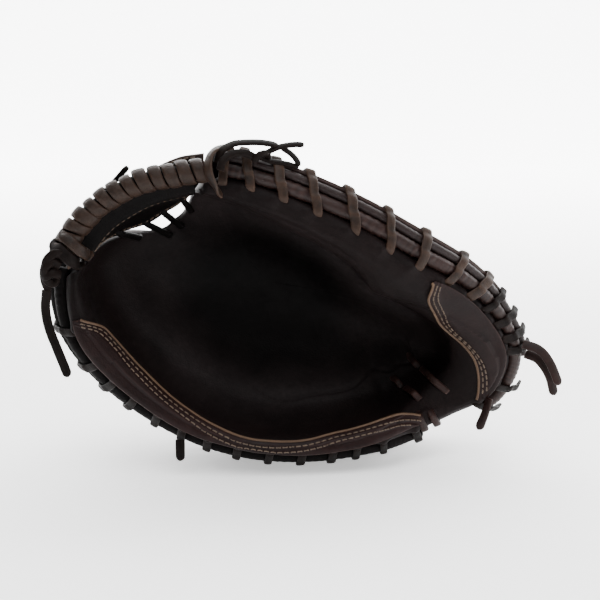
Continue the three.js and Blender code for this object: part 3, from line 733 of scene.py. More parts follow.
# The strands of each knot: width, thickness, the way the flat side looks, and points in space.
KNOTS = {
    "finger_knot": (
        (5.4, 2.0, (0, -0.5, 1), (
            (-52, 1, 204), (-49, 2, 211.5), (-42.5, 6, 215), (-36, 8, 215.8), (-26, 10, 215.6),
            (-19, 11, 214.6), (-14, 12, 213.2))),
        (5.0, 2.2, (0, -1, 0.6), (
            (-50, -4, 200), (-48, -2.5, 206), (-42, 0.5, 210), (-34.5, 4, 209.6), (-29, 6.5, 206.8),
            (-27, 9, 203.5))),
        (4.2, 2.2, (0, -1, 0.3), (
            (-29, 5, 204), (-25.5, 4.5, 208.6), (-21, 7.5, 209), (-20.5, 11, 206), (-24.5, 12, 204.5))),
        (4.4, 2.0, (0, -0.6, 1), (
            (-26, 8.5, 206), (-21.5, 10, 208.6), (-15.7, 11, 211.6), (-9.4, 12, 213.2), (-3, 12.5, 213.9),
            (2.5, 13, 213.6))),
        (4.0, 1.9, (0, -0.7, 1), (
            (-24, 9.5, 206), (-19, 10.5, 203.8), (-12.6, 11.5, 202.6), (-6, 12.5, 201), (-1, 14, 199))),
        (4.0, 1.9, (0, -0.7, 1), (
            (-11, 11.5, 211.8), (-6, 12.5, 208.2), (-2.5, 13.5, 204.3), (-0.5, 14.5, 200))),
        (7.2, 2.0, (-1, -0.7, 0.5), (
            (-50, 2, 184), (-53.5, -3.5, 190), (-57, -4.5, 199), (-57, -1, 207), (-53.5, 4, 211.6),
            (-47, 8, 212.5), (-42, 11, 210))),
    ),
    "thumb_knot": (
        (5.8, 2.6, (-0.4, -1, 0), (
            (-150, -4, 146.5), (-155, -5.2, 147), (-159.6, -5, 142.5), (-160.4, -4, 136))),
        (5.8, 2.6, (-0.5, -1, 0.2), (
            (-151.5, -3.6, 139), (-156.5, -5.8, 141.5), (-160.8, -5.6, 137), (-159.6, -5, 130.5),
            (-155.6, -4.6, 128.4), (-152.4, -4, 131.5))),
        (5.4, 2.4, (-0.6, -1, 0.4), (
            (-160.2, -3, 142), (-161.8, -3.4, 135), (-160.8, -3.2, 127.5), (-157.6, -3, 123))),
        (5.6, 2.4, (0, -1, 0.5), (
            (-151, -4.4, 133.6), (-155.4, -6.8, 134.8), (-159.8, -6, 133), (-162, -3.4, 131.4))),
        (5.9, 2.4, (-0.2, -1, 0), (
            (-152, -3, 143), (-155.5, -3.4, 138), (-156.5, -3.6, 132), (-155, -3, 127))),
    ),
}
# A strand wider than this is the loop over the bar's end, of the lit lace; the other strands are of the lace
# darkened as painted shade.
BAR_END_LOOP = 6
STRAND_STEPS = 60
ROUND_CROWN = 0.3
for name, strands in KNOTS.items():
    for k, (width, thickness, facing, points) in enumerate(strands):
        path = smooth_curve(points, STRAND_STEPS)
        side = np.cross(directions(path), np.array(facing, float))
        widths = rounded_tip(path, width)
        material = LACE if width > BAR_END_LOOP else SHADED_LACE
        band_piece(
            f"{name}_strand_{k + 1}", path, side, material, name, width=widths, thickness=thickness,
            crown=ROUND_CROWN,
        )

# Laces round the edge


def ring_stop(centre, radius, angle):
    """Where a lace passes a roll of leather, at an angle round it."""
    reach = radius + LACE_CLEAR
    return lambda r: edge_layer(r, centre + reach * math.sin(angle), -reach * math.cos(angle))


def behind_back(share):
    """Where a lace lies behind the back's leather."""

    def stop(r):
        here, beyond = (back_face(r, np.asarray(s), LEATHER) for s in (share, share + 2 * NEXT_TO))
        return square_to(here, beyond, here, -LACE_CLEAR - 1.5 * GAP)

    return stop


LACE_HOLE = 0.05
LACE_CLEAR = LACE_THICKNESS / 2 + GAP
# Each lace's place and lean, in millimetres along the rim from the finger tip.
RIM_LACES = (
    (17, -9), (38, -11), (61, -12), (88, -12), (116, -11), (144, -11), (173, -10), (195, -9), (211, -9),
    (226, -9), (239, -8), (249.5, -7), (280, -6), (300, -6), (351, 0), (374, 0), (392, 0), (408, 0),
    (428, 0), (449, 0), (470, 0), (490, 0), (508, 0), (527, 0), (547, 2), (566, 3), (584, 4), (612, 4),
)
# Rim laces from this one on are of the lace darkened as painted shade.
FIRST_SHADED_LACE = 9
SHADED_LACE_NARROWER = 0.9
RIM_LACE_THICKNESS = 2.0
# How much a lace's width wavers in millimetres, and how far it twists in radians.
LACE_UNEVEN = 0.5
LACE_SWING = 0.2
LACE_PLACES = [float(along_rim(length)) for length, _ in RIM_LACES]
ROUND_THE_EDGE = (
    lambda r: proud_section(r, np.asarray(LACE_HOLE + 0.035), -3.0),
    lambda r: proud_section(r, np.asarray(LACE_HOLE + 0.01), LACE_CLEAR - 0.6),
    ring_stop(BINDING_AT, BINDING_RADIUS, -0.55),
    ring_stop(BINDING_AT, BINDING_RADIUS, 0),
    ring_stop(BINDING_AT, BINDING_RADIUS, 0.5),
    ring_stop(WELT_AT, WELT_RADIUS, 0.3),
    lambda r: edge_layer(r, LAYERS + LEATHER * 0.4, -LACE_CLEAR - GAP),
    lambda r: edge_layer(r, LAYERS + LEATHER + LACE_CLEAR, 0),
)


def along_edge(s, path):
    """The way that the edge runs at a place, for each point of a path."""
    r = section(np.array([s - 0.05, s + 0.05]))
    before, after = place(r, edge_layer(r, BINDING_AT))
    return np.broadcast_to(after - before, path.shape)


def rim_lace(name, length, lean, material=LACE):
    """A loop of lace from its hole in the palm, round the rolls of the edge, and behind the back."""
    s = float(along_rim(length))
    per_mm = float(along_rim(length + 5) - along_rim(length - 5)) / 10
    on_fingers = s < at("knuckle") + 0.5
    on_thumb = s > at("crease")
    route = list(ROUND_THE_EDGE[:-1] if on_thumb else ROUND_THE_EDGE)
    if on_fingers:
        route += [behind_back(0.08), behind_back(0.17)]
    if on_thumb:
        route += [behind_back(0.05)]
    stops = []
    for i, stop in enumerate(route):
        r = section(np.asarray(s + lean * per_mm * (max(0, i - 1) / (len(route) - 2) - 0.5)))
        stops.append(place(r, stop(r)))
    stops = [p for p in stops if p[2] > LACE_THICKNESS / 2 + GAP]
    path = smooth_curve(stops, 44)
    side = along_edge(s, path)
    swing = LACE_SWING * math.sin(length * 1.3)
    broad = LACE_WIDTH if material is LACE else LACE_WIDTH - SHADED_LACE_NARROWER
    width = broad + LACE_UNEVEN * np.sin(np.linspace(0, 3.1, len(path))) * math.cos(length)
    twist = swing * np.linspace(-1, 1, len(path))
    band_piece(
        name + "_leather", path, side, material, name, width=width, thickness=RIM_LACE_THICKNESS, twist=twist
    )


for k, (length, lean) in enumerate(RIM_LACES):
    rim_lace(f"rim_lace_{k + 1:02d}", length, lean, LACE if k + 1 < FIRST_SHADED_LACE else SHADED_LACE)
WEB_LOOP_AT = 3
rim_lace("web_loop", WEB_LOOP_AT, 0)


# Palm

# Rows for each station and columns of the palm's face, quick and full.
PALM_STEPS = {True: (10, 50), False: (24, 112)}
HIDDEN_SHARES = np.array([0, 0.1, 0.2, 0.3, 0.45, 0.6, 0.8, 1.0])
# Where the mouth of the pocket is, for telling the two sides of its wall.
MOUTH = np.array([POCKET[0], 40.0, POCKET[1]])
# The seam of the lip: where along the rim, and at what share of the way to the pocket.
SEAM_LINE = ((-0.2, 0.15), (3.0, 0.155), (4.2, 0.165), (5.2, 0.19), (5.6, 0.2))
SEAM_ENDS = (-0.2, 5.9)
# The least that a point counts for when the bottom is evened out.
NO_WEIGHT = 1e-6
# The palm's marks: depth or rise in millimetres, then a width. That of the seam, its roll and the puckers
# is in millimetres, that of the hole's fold and the crease in places along the rim, and the others' a share.
SEAM = (1.0, 1.3)
SEAM_ROLL = (0.8, 4.5)
SEAM_ROLL_AT = -7
SEAM_DIP = 0.3
HOLE_PUCKER = (1.5, 4.2)
HOLE_FOLD = (0.7, 0.07)
FULL_BETWEEN = (0.55, 0.3)
CREASE = (2.2, 0.28)
LONG_FOLD = (1.1, 0.012)
FOLD_RIDGE = (0.5, 0.02)
FOLD_ENDS = (6.8, 12.5)
RIPPLE = (0.35, 0.1)


def smooth_bottom(face, share, spread=10.0):
    """Evens out the bottom of the pocket, where the sections meet."""
    sample = face[::6, ::3]
    across = np.linalg.norm(np.gradient(sample, axis=0), axis=-1)
    down_wall = np.linalg.norm(np.gradient(sample, axis=1), axis=-1)
    weight = (across * down_wall).ravel() + NO_WEIGHT
    sample = sample.reshape(-1, 3)
    smooth = face.copy()
    for i in range(len(face)):
        apart = (face[i, :, None, 0] - sample[None, :, 0]) ** 2
        apart += (face[i, :, None, 2] - sample[None, :, 2]) ** 2
        kernel = np.exp(-apart / (2 * spread**2)) * weight
        smooth[i, :, 1] = (kernel * sample[:, 1]).sum(1) / kernel.sum(1)
    blend = smooth_step((share - 0.42) / 0.33)
    face[..., 1] = mix(face[..., 1], smooth[..., 1], blend)
    return face


def face_normals(grid):
    """Normals of a grid of points, that face the mouth of the pocket."""
    normal = unit(np.cross(np.gradient(grid, axis=1), np.gradient(grid, axis=0)))
    return normal * np.sign(np.sum(normal * (MOUTH - grid), -1, keepdims=True))


def lip_seam(s, share, reach):
    """The seam that sets the lip off from the wall, on the finger side, and the roll beside it."""
    places, shares = zip(*SEAM_LINE)
    across = (share - np.interp(s, places, shares)) * reach
    roll = SEAM_ROLL[0] * near(across, SEAM_ROLL_AT, SEAM_ROLL[1])
    return inside(s, *SEAM_ENDS, 0.3) * (roll - SEAM[0] * near(across, 0, SEAM[1]) - SEAM_DIP)


def lace_puckers(s, share, face):
    """Leather drawn in at each lace hole, with a short fold down the wall, and full between two holes."""
    height = np.zeros(share.shape)
    for here in LACE_PLACES:
        r = section(np.asarray(here))
        hole = place(r, palm_face(r, np.asarray(LACE_HOLE + 0.02)))
        height -= HOLE_PUCKER[0] * near(np.linalg.norm(face - hole, axis=-1), 0, HOLE_PUCKER[1])
        off = np.abs(s - here)
        off = np.minimum(off, STATIONS - off)
        height -= HOLE_FOLD[0] * near(off, 0, HOLE_FOLD[1]) * near(share, 0.08, 0.06)
    for here, following in zip(LACE_PLACES, LACE_PLACES[1:]):
        width = (following - here) * FULL_BETWEEN[1]
        height += FULL_BETWEEN[0] * near(s, (here + following) / 2, width) * near(share, 0.05, 0.06)
    return height


def pocket_folds(s, share):
    """The crease between thumb and heel, a long soft fold round the pocket, and ripples beside it."""
    crease = at("crease") + 0.35 + 0.5 * share
    height = -CREASE[0] * near(s, crease, CREASE[1]) * inside(share, 0.12, 0.8, 0.1, 0.25)
    fold = 0.6 + 0.05 * np.sin(s * 2.1) + 0.02 * np.sin(s * 5.3)
    ridge = FOLD_RIDGE[0] * near(share, fold - 0.03, FOLD_RIDGE[1])
    marks = ridge - LONG_FOLD[0] * near(share, fold, LONG_FOLD[1])
    height += marks * inside(s, *FOLD_ENDS, 0.8, 2)
    ripples = RIPPLE[0] * np.sin(s * 19 + 6 * share) * near(share, 0.36, RIPPLE[1])
    return height + ripples * inside(s, at("crease"), at("thumb_end"), 1)


def palm():
    """The padded palm: its marked face, and the padding's hidden side, which is thin at the crotch."""
    rows_a_station, columns = PALM_STEPS[bool(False)]
    rows = STATIONS * rows_a_station
    places = np.arange(rows) / rows_a_station
    # Finer columns over the lip, where the leather turns and is laced.
    t = np.linspace(0, 1, columns)
    r, share = palm_grid(places, 0.55 * t + 0.45 * t**2)
    face = smooth_bottom(place(r, palm_face(r, share)), share)
    normal = face_normals(face)
    normal[:, -1] = (0, -1, 0)

    s = np.broadcast_to(places[:, None], share.shape)
    height = uneven(face, "palm")
    height += lip_seam(s, share, r["reach"]) + lace_puckers(s, share, face) + pocket_folds(s, share)
    height *= inside(share, 0, 1, 0.08, 0.05)
    face = face + normal * height[..., None]

    r, share = palm_grid(places, HIDDEN_SHARES)
    thin = offset_wall(r, np.maximum(share, INNER_TURN), LEATHER)
    in_crotch = smooth_step(r["palm_from"] / 0.2) * (1 - smooth_step((share - r["palm_from"]) / 0.14))
    behind = tuple(mix(full, cut, in_crotch) for full, cut in zip(pad_back(r, share), thin))
    back_points = rested(place(r, behind), PALM_FLOOR)
    rings = np.concatenate([face, back_points[:, ::-1]], 1)
    count = rings.shape[1]
    points = rings.reshape(-1, 3)
    faces = []
    # The face and the hidden side meet at the edge, and stay apart at the bottom of the pocket.
    for i in range(rows):
        k = (i + 1) % rows
        for j in [*range(columns - 1), *range(columns, count)]:
            m = (j + 1) % count
            faces.append((i * count + j, k * count + j, k * count + m, i * count + m))
    made = piece("palm_leather", points, outward_facing(points, faces), PALM, "palm")
    return made


palm()


# Stitched panels

# Where along the rim, and the shares of the way to the pocket at which the panel starts and ends.
THUMB_PANEL = (
    (at("crease") - 0.25, 0.12, 0.15), (at("thumb_heel") - 0.5, 0.12, 0.2),
    (at("thumb_middle") - 0.5, 0.1, 0.215), (at("thumb_middle") + 0.2, 0.09, 0.18),
    (at("thumb_upper"), 0.09, 0.17), (at("thumb_pad"), 0.09, 0.22), (at("thumb_corner"), 0.09, 0.24),
    (at("thumb_corner") + 0.4, 0.09, 0.25), (at("thumb_end") - 0.1, 0.09, 0.235),
    (at("thumb_end") + 0.25, 0.1, 0.14),
)
HEEL_PANEL = (
    (at("finger_lower") + 0.7, 0.1, 0.115), (at("knuckle") + 0.2, 0.09, 0.16),
    (at("heel_upper"), 0.09, 0.19), (at("heel_upper") + 0.7, 0.09, 0.21),
    (at("heel_corner") + 0.4, 0.09, 0.17), (at("heel_lower"), 0.09, 0.14),
    (at("heel_lower") + 0.3, 0.1, 0.12),
)


def from_table(table, t):
    """A smooth line through a table's rows, at shares of the way along it."""
    rows = np.array(table)
    row_at = np.asarray(t) * (len(rows) - 1)
    i = np.minimum(len(rows) - 2, np.floor(row_at).astype(int))
    near_rows = [rows[np.clip(i + k, 0, len(rows) - 1)] for k in (-1, 0, 1, 2)]
    return smooth_through(*near_rows, (row_at - i)[..., None])


# A stitch's rise and fall along its length, and its thread, which is wider than it is high.
STITCH_BEND = (-1.0, 0.45, 1, 1, 0.45, -1.0)
THREAD_SIDES = 6
THREAD_FLAT = 1.15


def stitch_row(name, path, normals, material, length=3.3, pitch=4.3, radius=0.42, lift=0.3):
    """One row of stitches: short bent pieces of thread that dip into the leather at both ends."""
    along = lengths_along(path)
    angles = circle(THREAD_SIDES)[None, :, None]
    points, faces = [], []
    for k in range(int(along[-1] / pitch)):
        places = (k + 0.5) * pitch + np.linspace(-0.5, 0.5, len(STITCH_BEND)) * length
        up = unit(read_off(normals, along, places))
        line = read_off(path, along, places) + up * (lift * np.array(STITCH_BEND)[:, None])
        side = unit(np.cross(directions(line), up))
        rings = side[:, None] * np.cos(angles) * THREAD_FLAT + up[:, None] * np.sin(angles)
        faces += loft(rings.shape[:2], start=len(points))
        points += (line[:, None] + radius * rings).reshape(-1, 3).tolist()
    piece(name, np.array(points), faces, material)


def along_rows(values, distances, wanted):
    """The points at a wanted distance in each row, between the two nearest columns."""
    orders = np.argsort(distances, axis=1)
    return np.array([read_off(v[i], d[i], wanted) for v, d, i in zip(values, distances, orders)])


def stitched_columns(name, grid, normal, ends, columns):
    """Rows of stitches along some columns of a grid, but for so many points at both ends."""
    for row_name, column in columns.items():
        kept = slice(ends, -ends)
        stitch_row(f"{name}_stitches_{row_name}", grid[kept, column], normal[kept, column], THREAD)


# How far a panel swells away from its edges, and how deep its stitches draw it in.
PANEL_FULL = 0.9
STITCH_GROOVE = 0.35
STITCH_MARGIN = 2


def panel(name, table, rows, stitch_insets):
    """A panel of leather on the palm, with a piped edge towards the pocket and two rows of stitches."""
    columns = 26
    t = np.linspace(0, 1, rows)
    s, start, end = np.moveaxis(from_table(table, t), -1, 0)
    r = section(s[:, None])
    share = mix(start[:, None], end[:, None], np.linspace(0, 1, columns)[None, :])
    low = place(r, proud_section(r, share, PANEL_AT))
    top = place(r, proud_section(r, share, PANEL_AT + PANEL_LEATHER))
    normal = face_normals(top)
    from_start = lengths_along(top)
    to_end = from_start[:, -1:] - from_start
    height = uneven(top, "panel")
    height += PANEL_FULL * smooth_step(to_end / 9) * smooth_step(from_start / 6)
    for inset in stitch_insets:
        height -= STITCH_GROOVE * near(to_end, inset, 0.8)
    height *= inside(t, 0, 1, 0.05)[:, None]
    top = top + normal * height[..., None]
    closed_sheet(name + "_leather", top, low, PANEL, name)

    edge = top[:, -1] + normal[:, -1] * 0.1
    ring_piece(name + "_piping", tube_rings(edge, PIPING_RADIUS, 10), PIPING)
    for row_name, inset in zip(("inner", "outer"), stitch_insets):
        wide = from_start[:, -1] > inset + STITCH_MARGIN
        line = along_rows(top, to_end, inset)[wide]
        up = along_rows(normal, to_end, inset)[wide]
        stitch_row(f"{name}_stitches_{row_name}", line, up, THREAD)


panel("thumb_panel", THUMB_PANEL, 300, (4.2, 7.8))
panel("heel_panel", HEEL_PANEL, 180, (3.2, 6.2))


# Rolled binding and welt along the laced edge

# How much fuller a roll is than in the CAD, and the share of its radius that wrinkles change.
FULLER = 0.4
WRINKLES = 0.045
ROWS_A_STATION = 30


def edge_roll(name, start, end, distance, radius, sides, material, pinch):
    """A roll of leather along the edge, drawn in where each lace crosses it."""
    s = np.linspace(start, end, int((end - start) * ROWS_A_STATION))
    r = section(s)
    path = place(r, edge_layer(r, distance))
    full = radius + FULLER
    size = np.full((len(s), sides), full, float)
    for lace in LACE_PLACES:
        size *= 1 - pinch * near(s, lace, 0.055)[:, None]
    ring = circle(sides)
    wrinkles = np.sin(s[:, None] * 61 + 2.2 * np.sin(ring)[None, :] + 1.5 * np.sin(s * 7)[:, None])
    size *= 1 + WRINKLES * wrinkles * (0.4 + 0.6 * np.sin(s * 3.7)[:, None] ** 2)
    rings = tube_rings(path, size, sides)
    rings += wavy(rings, 12, 0.35, full)[..., None] * np.array([0.5, -0.7, 0.5])
    ring_piece(name + "_leather", rings, material, name)


FINGER_EDGE = (0.1, at("heel_lower") + 0.4)
THUMB_EDGE = (at("crease") - 0.05, at("thumb_tip") + 0.25)
# Where each roll starts and ends, its distance from the palm's edge, its radius, the number of sides, its
# leather, and how far a lace draws it in.
# The thumb's binding and welt are of the leather darkened as painted shade.
EDGE_ROLLS = {
    "finger_binding": (*FINGER_EDGE, BINDING_AT, BINDING_RADIUS, 20, BINDING, 0.09),
    "thumb_binding": (*THUMB_EDGE, BINDING_AT, BINDING_RADIUS, 20, SHADED_LEATHER, 0.09),
    "finger_welt": (FINGER_EDGE[0], FINGER_EDGE[1] - 1.4, WELT_AT, WELT_RADIUS, 14, SHELL, 0.06),
    "thumb_welt": (THUMB_EDGE[0] + 0.8, THUMB_EDGE[1], WELT_AT, WELT_RADIUS, 14, SHADED_LEATHER, 0.06),
}
for name, roll in EDGE_ROLLS.items():
    edge_roll(name, *roll)


# Back, in two halves

HEEL_SPLIT = at("heel_middle") - 0.5
CROTCH_SPLIT = at("web_middle") - 0.4
SEAM_SHIFT = 0.6
# How much further down the back is cut behind the crotch, as a share of the way to the pocket.
CROTCH_CUT = 0.13
# The groove round the back, and the distances of the groove and of both rows of stitches from the edge.
BACK_SEAM = 0.7
BACK_SEAM_AT = 16
BACK_STITCHES = (7, 10.5)


def back_half(name, start, end, shift_z):
    """One half of the back's leather. shift_z parts it from the other half."""
    rows = int((end - start) * 16)
    columns = 60
    s = np.linspace(start, end, rows)[:, None]
    r = section(s)
    start_share = r["back_from"] + CROTCH_CUT * near(s % STATIONS, CROTCH_SPLIT, 1.5)
    share = start_share + (1 - start_share) * np.linspace(0, 1, columns)[None, :]

    def side(leather):
        points = place(r, back_face(r, share, leather))
        shift = shift_z * share**2
        points[..., 0] += 0.3 * shift
        points[..., 2] += shift
        return points

    outer, inner = side(LEATHER), side(0)
    normal = -face_normals(outer)
    normal[:, -1] = (0, 1, 0)
    rise = uneven(outer, "back") - BACK_SEAM * near(share * r["reach"], BACK_SEAM_AT, 1)
    fade = inside(share, start_share, 1, 0.05, 0.1) * inside(s, start, end, 0.3)
    fade *= smooth_step((outer[..., 2] - 1) / 12)
    outer = rested(outer + normal * (rise * fade)[..., None], 0.0)
    inner = rested(inner, LEATHER)
    closed_sheet(name + "_leather", outer, inner, SHELL, name)
    from_edge = (share - start_share) * r["reach"]
    for k, inset in enumerate(BACK_STITCHES):
        line = along_rows(outer, from_edge, inset)
        up = along_rows(normal, from_edge, inset)
        off_floor = line[:, 2] > 2
        stitch_row(f"{name}_stitches_{k + 1}", line[off_floor], up[off_floor], THREAD)


back_half("finger_back", CROTCH_SPLIT - STATIONS, HEEL_SPLIT, SEAM_SHIFT)
back_half("thumb_back", HEEL_SPLIT, CROTCH_SPLIT, -SEAM_SHIFT)


# Wrist strap

STRAP_PAD = 1.1
STRAP_SEAM_DEPTH = 0.9
STRAP_SEAMS = (0.12, 0.88)
STRAP = {"start": at("heel_upper") + 0.1, "end": at("thumb_heel") - 0.3, "top": 0.5, "bottom": 0.64}


def wrist_strap():
    """The padded strap, which lies on the back across the wrist's opening."""
    rows, columns = 150, 20
    t = np.linspace(0, 1, rows)[:, None]
    r = section(mix(STRAP["start"], STRAP["end"], t))
    across = np.linspace(0, 1, columns)[None, :]
    share = np.broadcast_to(mix(STRAP["top"], STRAP["bottom"], across), (rows, columns))
    distance = back_distance(r, share) + LEATHER + 2 * GAP
    low = place(r, offset_wall(r, share, distance))
    high = place(r, offset_wall(r, share, distance + STRAP_THICKNESS))
    normal = -face_normals(high)
    padded = STRAP_PAD * np.sin(math.pi * across) ** 0.6
    for seam in STRAP_SEAMS:
        padded = padded - STRAP_SEAM_DEPTH * near(across, seam, 0.03)
    padded = (padded + uneven(high, "strap")) * inside(t, 0, 1, 0.03)
    high = high + normal * padded[..., None]
    closed_sheet("wrist_strap_leather", high, low, SHELL, "wrist_strap")
    stitched_columns("wrist_strap", high, normal, 2, {"upper": 2, "lower": -3})


wrist_strap()


# Web

BAR = ((-153, 5, 139), (-147, 7, 153), (-131, 8, 173), (-105, 6, 189.5), (-78, 5, 196), (-61, 5, 198.5))
WEB_PLACE = {"start": at("thumb_tip") + 0.85, "end": at("web_right") + 0.35, "top": 0.27, "behind_bar": 9.5}
WRAP = {"turns": 13, "radius": 6.9, "width": 7.9, "thickness": 2.1, "crown": 0.35, "start": 0.02, "end": 1.0}
TURN_STEPS = 30
bar = smooth_curve(BAR, 240)
# The bar is of the leather darkened as painted shade.
ring_piece("web_bar_leather", tube_rings(bar, BAR_RADIUS, 20), SHADED_LEATHER, "web_bar")


def on_bar(t):
    """Points of the bar's line, and its directions, at shares of its length."""
    rows = np.arange(len(bar))
    row_at = np.clip(t, 0, 1) * rows[-1]
    return read_off(bar, rows, row_at), unit(read_off(directions(bar), rows, row_at))


def web_wrap():
    count = WRAP["turns"] * TURN_STEPS
    t = np.linspace(WRAP["start"], WRAP["end"], count)
    centre, along = on_bar(t)
    up = unit(np.cross(np.array([0.0, 1.0, 0.0]), along))
    front = np.cross(along, up)
    turn = np.arange(count) / TURN_STEPS * 2 * math.pi
    radius = WRAP["radius"] + 0.3 * np.sin(turn * 0.37) + 0.25 * np.sin(turn * 1.31)
    path = centre + up * (radius * np.cos(turn))[:, None] + front * (radius * np.sin(turn))[:, None]
    width = WRAP["width"] + 0.7 * np.sin(turn * 0.61) + 0.4 * np.sin(turn * 1.7)
    slant = 0.05 * np.sin(turn * 0.43)
    rings = band(path, along, width, WRAP["thickness"], WRAP["crown"], slant)
    ring_piece("web_wrap_leather", rings, WRAP_LACE, "web_wrap")


web_wrap()
# Two more turns at the thumb's end go round the bar and its lug: width, leather and points in space.
# The first is of the lace darkened as painted shade.
WRAP_ENDS = (
    (8.2, SHADED_LACE, (
        (-150, 12, 153), (-154.5, 3, 151), (-150.5, -3.4, 148.5), (-145, -4, 143.5), (-140.5, 2, 139.5),
        (-141, 12, 137.5), (-146, 18, 138))),
    (7.4, WRAP_LACE, (
        (-145, 13, 160), (-149, 2, 158), (-144.5, -2.8, 154.5), (-138.5, -2.4, 149), (-134.5, 4, 145),
        (-135, 13, 142.5), (-140, 19, 144))),
)
for k, (width, material, points) in enumerate(WRAP_ENDS):
    path = smooth_curve(points, STRAND_STEPS)
    side = np.cross(directions(path), np.array([0.0, -1.0, 0.35]))
    rings = band(path, side, width, WRAP["thickness"], WRAP["crown"])
    ring_piece(f"web_wrap_end_{k + 1}", rings, material, "web_wrap")


def web_bottom(r):
    """The share at which the web panel ends, just above the palm's cut edge."""
    return np.maximum(WEB_PLACE["top"] + 0.04, r["palm_from"] - 0.1)


def web_panel():
    """The web's leather: a bridge behind the bar, then a wall down to the laces of the crotch."""
    rows, columns = 120, 40
    s = np.linspace(WEB_PLACE["start"], WEB_PLACE["end"], rows)[:, None]
    r = section(s)

    def side(distance):
        share = mix(WEB_PLACE["top"], web_bottom(r), np.linspace(0, 1, columns)[None, :])
        wall = place(r, offset_wall(r, share, distance))
        inset = place(r, (np.ones_like(r["front"]), r["front"] + WEB_PLACE["behind_bar"] + distance))
        bridge = mix(inset, wall[:, :1], np.linspace(0, 1, 8, endpoint=False)[None, :, None])
        return np.concatenate([bridge, wall], 1)

    face, hidden = side(0), side(WEB_THICKNESS)
    normal = face_normals(face)
    i, j = np.indices(face.shape[:2])
    rise = uneven(face, "web") * inside(i, 0, i.max(), 6) * inside(j, 0, j.max(), 4)
    face = face + normal * rise[..., None]
    # The web is of the leather darkened as painted shade.
    closed_sheet("web_panel_leather", face, hidden, SHADED_LEATHER, "web_panel")
    stitched_columns("web_panel", face, normal, 3, {"upper": 10, "lower": -5})


web_panel()

BAND = {"start": 0.6, "end": 1, "below": 3, "above": 8.5, "behind": 15.5}


def web_band():
    """The stitched band behind the bar, towards the fingers."""
    rows, columns = 60, 16
    centre, _ = on_bar(np.linspace(BAND["start"], BAND["end"], rows))
    top = mix(1.5, BAND["above"], smooth_step(np.linspace(0, 1, rows) / 0.75))
    rise = mix(-BAND["below"], top[:, None], np.linspace(0, 1, columns)[None, :])

    def side(distance):
        points = np.repeat(centre[:, None], columns, 1)
        points[..., 2] += rise
        points[..., 1] += BAND["behind"] + distance
        return points

    face, hidden = side(0), side(LEATHER)
    face[..., 1] -= 0.8 * np.sin(math.pi * np.linspace(0, 1, columns)) + uneven(face, "band")
    closed_sheet("web_band_leather", face, hidden, BINDING, "web_band")
    normal = np.broadcast_to(np.array([0.0, -1.0, 0.0]), face.shape)
    stitched_columns("web_band", face, normal, 1, {"upper": -3, "lower": 2})


web_band()


# Laces on the palm's face


# How deep both ends of a lace dive into the leather.
END_DIP = 3.2


def face_lace(name, start, end, clear, width, material):
    """A short lace over the palm's face, between two places and shares."""
    t = np.linspace(0, 1, 40)
    s = mix(start[0], end[0], t)
    share = mix(start[1], end[1], t)
    lift = LACE_THICKNESS / 2 + clear - (1 - inside(t, 0, 1, 0.16)) * END_DIP
    r = section(s)
    path = place(r, proud_section(r, share, lift))
    on_face = place(r, palm_face(r, share))
    normal = unit(place(r, proud_section(r, share, 1.0)) - on_face)
    side = np.cross(directions(on_face), normal)
    band_piece(name + "_leather", path, side, material, name, width=width, crown=0.3)


# The crotch laces are of the leather darkened as painted shade.
CROTCH_LACES = (
    at("web_thumb_end") + 0.6, at("web_left") + 0.35, at("web_middle") + 0.1, at("web_right") - 0.1,
)
for k, s in enumerate(CROTCH_LACES):
    r = section(np.asarray(s))
    start = (s, float(web_bottom(r)) - 0.04)
    end = (s, float(r["palm_from"]) + 0.04)
    face_lace(f"crotch_lace_{k + 1}", start, end, 2 * GAP, 4.4, SHADED_LEATHER)
# The hinge laces and crease loops are of the redder lace darkened as painted shade.
HINGE_LACES = (
    ((at("heel_middle") - 0.1, 0.61), (at("heel_middle") - 0.05, 0.455)),
    ((at("heel_middle") - 0.1, 0.44), (at("heel_middle") - 0.3, 0.17)),
    ((at("crease") + 0.35, 0.61), (at("crease"), 0.43)),
    ((at("crease") - 0.1, 0.39), (at("crease") - 0.45, 0.21)),
)
for k, (start, end) in enumerate(HINGE_LACES):
    face_lace(f"hinge_lace_{k + 1}", start, end, 2.5 * GAP, 4.6, SHADED_RED_LACE)


def crease_loop(name, s, share):
    """Where a hinge lace comes out again, and is tied over the edge of the palm."""
    r = section(np.asarray(s, float))
    over_face = ((share, -2.5), (share - 0.03, 1.6), (0.06, 1.8))
    round_edge = ((2.2, -0.6), (2.6, 3.0), (0.5, 5.5))
    stops = [place(r, proud_section(r, np.asarray(at_share), away)) for at_share, away in over_face]
    stops += [place(r, edge_layer(r, *layer)) for layer in round_edge]
    path = smooth_curve(stops, 36)
    side = along_edge(s, path)
    band_piece(name, path, side, SHADED_RED_LACE, width=5.0, crown=0.3)


crease_loop("crease_loop_1", at("crease") - 0.55, 0.16)
crease_loop("crease_loop_2", at("crease") - 0.2, 0.17)


# Floor, backdrop and light

# The stage in metres: its front edge, the start and radius of its bend, its top edge, and half its width.
STAGE = {"front": -3.0, "bend_from": 1.2, "bend_radius": 0.6, "top": 3.4, "half_width": 3.5}
FLOOR_COLOUR = (0.95, 0.95, 0.95)
FLOOR_GLOW = 0.6
BACKDROP_GLOW = 5.5


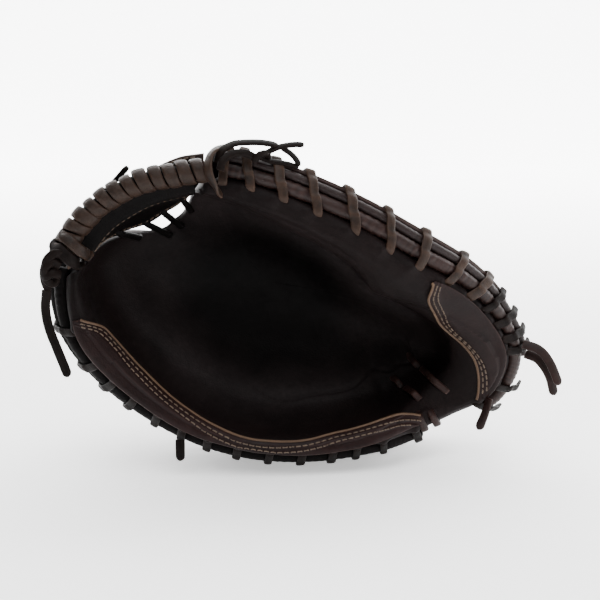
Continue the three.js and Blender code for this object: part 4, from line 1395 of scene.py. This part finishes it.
def pale_stage():
    """Pale matt paper, which glows behind the object and not below it."""
    material, tree, shader, coords = new_material("pale_stage")
    mottle = node(tree, "ShaderNodeTexNoise", Scale=3.0)
    tree.links.new(coords, mottle.inputs["Vector"])
    dark = tuple(c * 0.985 for c in FLOOR_COLOUR)
    tree.links.new(ramp(tree, mottle.outputs["Fac"], dark, FLOOR_COLOUR), shader.inputs["Base Color"])
    shader.inputs["Roughness"].default_value = 0.8
    shader.inputs["Specular IOR Level"].default_value = 0.1
    shader.inputs["Emission Color"].default_value = (1, 1, 1, 1)
    split = tree.nodes.new("ShaderNodeSeparateXYZ")
    tree.links.new(coords, split.inputs["Vector"])
    glow = node(tree, "ShaderNodeMapRange", interpolation_type="SMOOTHERSTEP")
    limits = {"From Min": 0.1, "From Max": 1.5, "To Min": FLOOR_GLOW, "To Max": BACKDROP_GLOW}
    for key, value in limits.items():
        glow.inputs[key].default_value = value
    tree.links.new(split.outputs["Y"], glow.inputs["Value"])
    tree.links.new(glow.outputs["Result"], shader.inputs["Emission Strength"])
    return material


def stage_sweep():
    """A floor that curves up behind the mitt."""
    start, radius = STAGE["bend_from"], STAGE["bend_radius"]
    turn = np.linspace(0, math.pi / 2, 24)
    bend = [(start + radius * math.sin(a), radius * (1 - math.cos(a))) for a in turn]
    profile = [(STAGE["front"], 0.0), *bend, (start + radius, STAGE["top"])]
    points = [(x, y, z) for y, z in profile for x in (-STAGE["half_width"], STAGE["half_width"])]
    faces = [(2 * i, 2 * i + 1, 2 * i + 3, 2 * i + 2) for i in range(len(profile) - 1)]
    smooth_mesh("stage_sweep", points, faces, pale_stage())


stage_sweep()

# Area lights: where each is, where it looks, its size in metres, and its power in watts.
LIGHTS = {
    "overhead": ((0.15, 0.45, 1.4), (0, -0.15, 0.1), 2.0, 34),
    "right": ((1.3, 0.4, 0.7), (0.1, 0, 0.1), 0.7, 15),
    "front": ((-0.25, -1.1, 1.9), (0, 0.05, 0.05), 1.5, 46),
    "heel": ((0.95, -0.55, 0.22), (0.13, 0.0, 0.05), 0.35, 5),
}
for name, (where, towards, size, power) in LIGHTS.items():
    data = bpy.data.lights.new(name, "AREA")
    data.size = size
    data.energy = power
    aim(add_object(name, data), where, towards)
sky = bpy.data.worlds.new("studio")
sky.use_nodes = True
sky.node_tree.nodes["Background"].inputs["Color"].default_value = (1, 1, 1, 1)
sky.node_tree.nodes["Background"].inputs["Strength"].default_value = 0.09
bpy.context.scene.world = sky
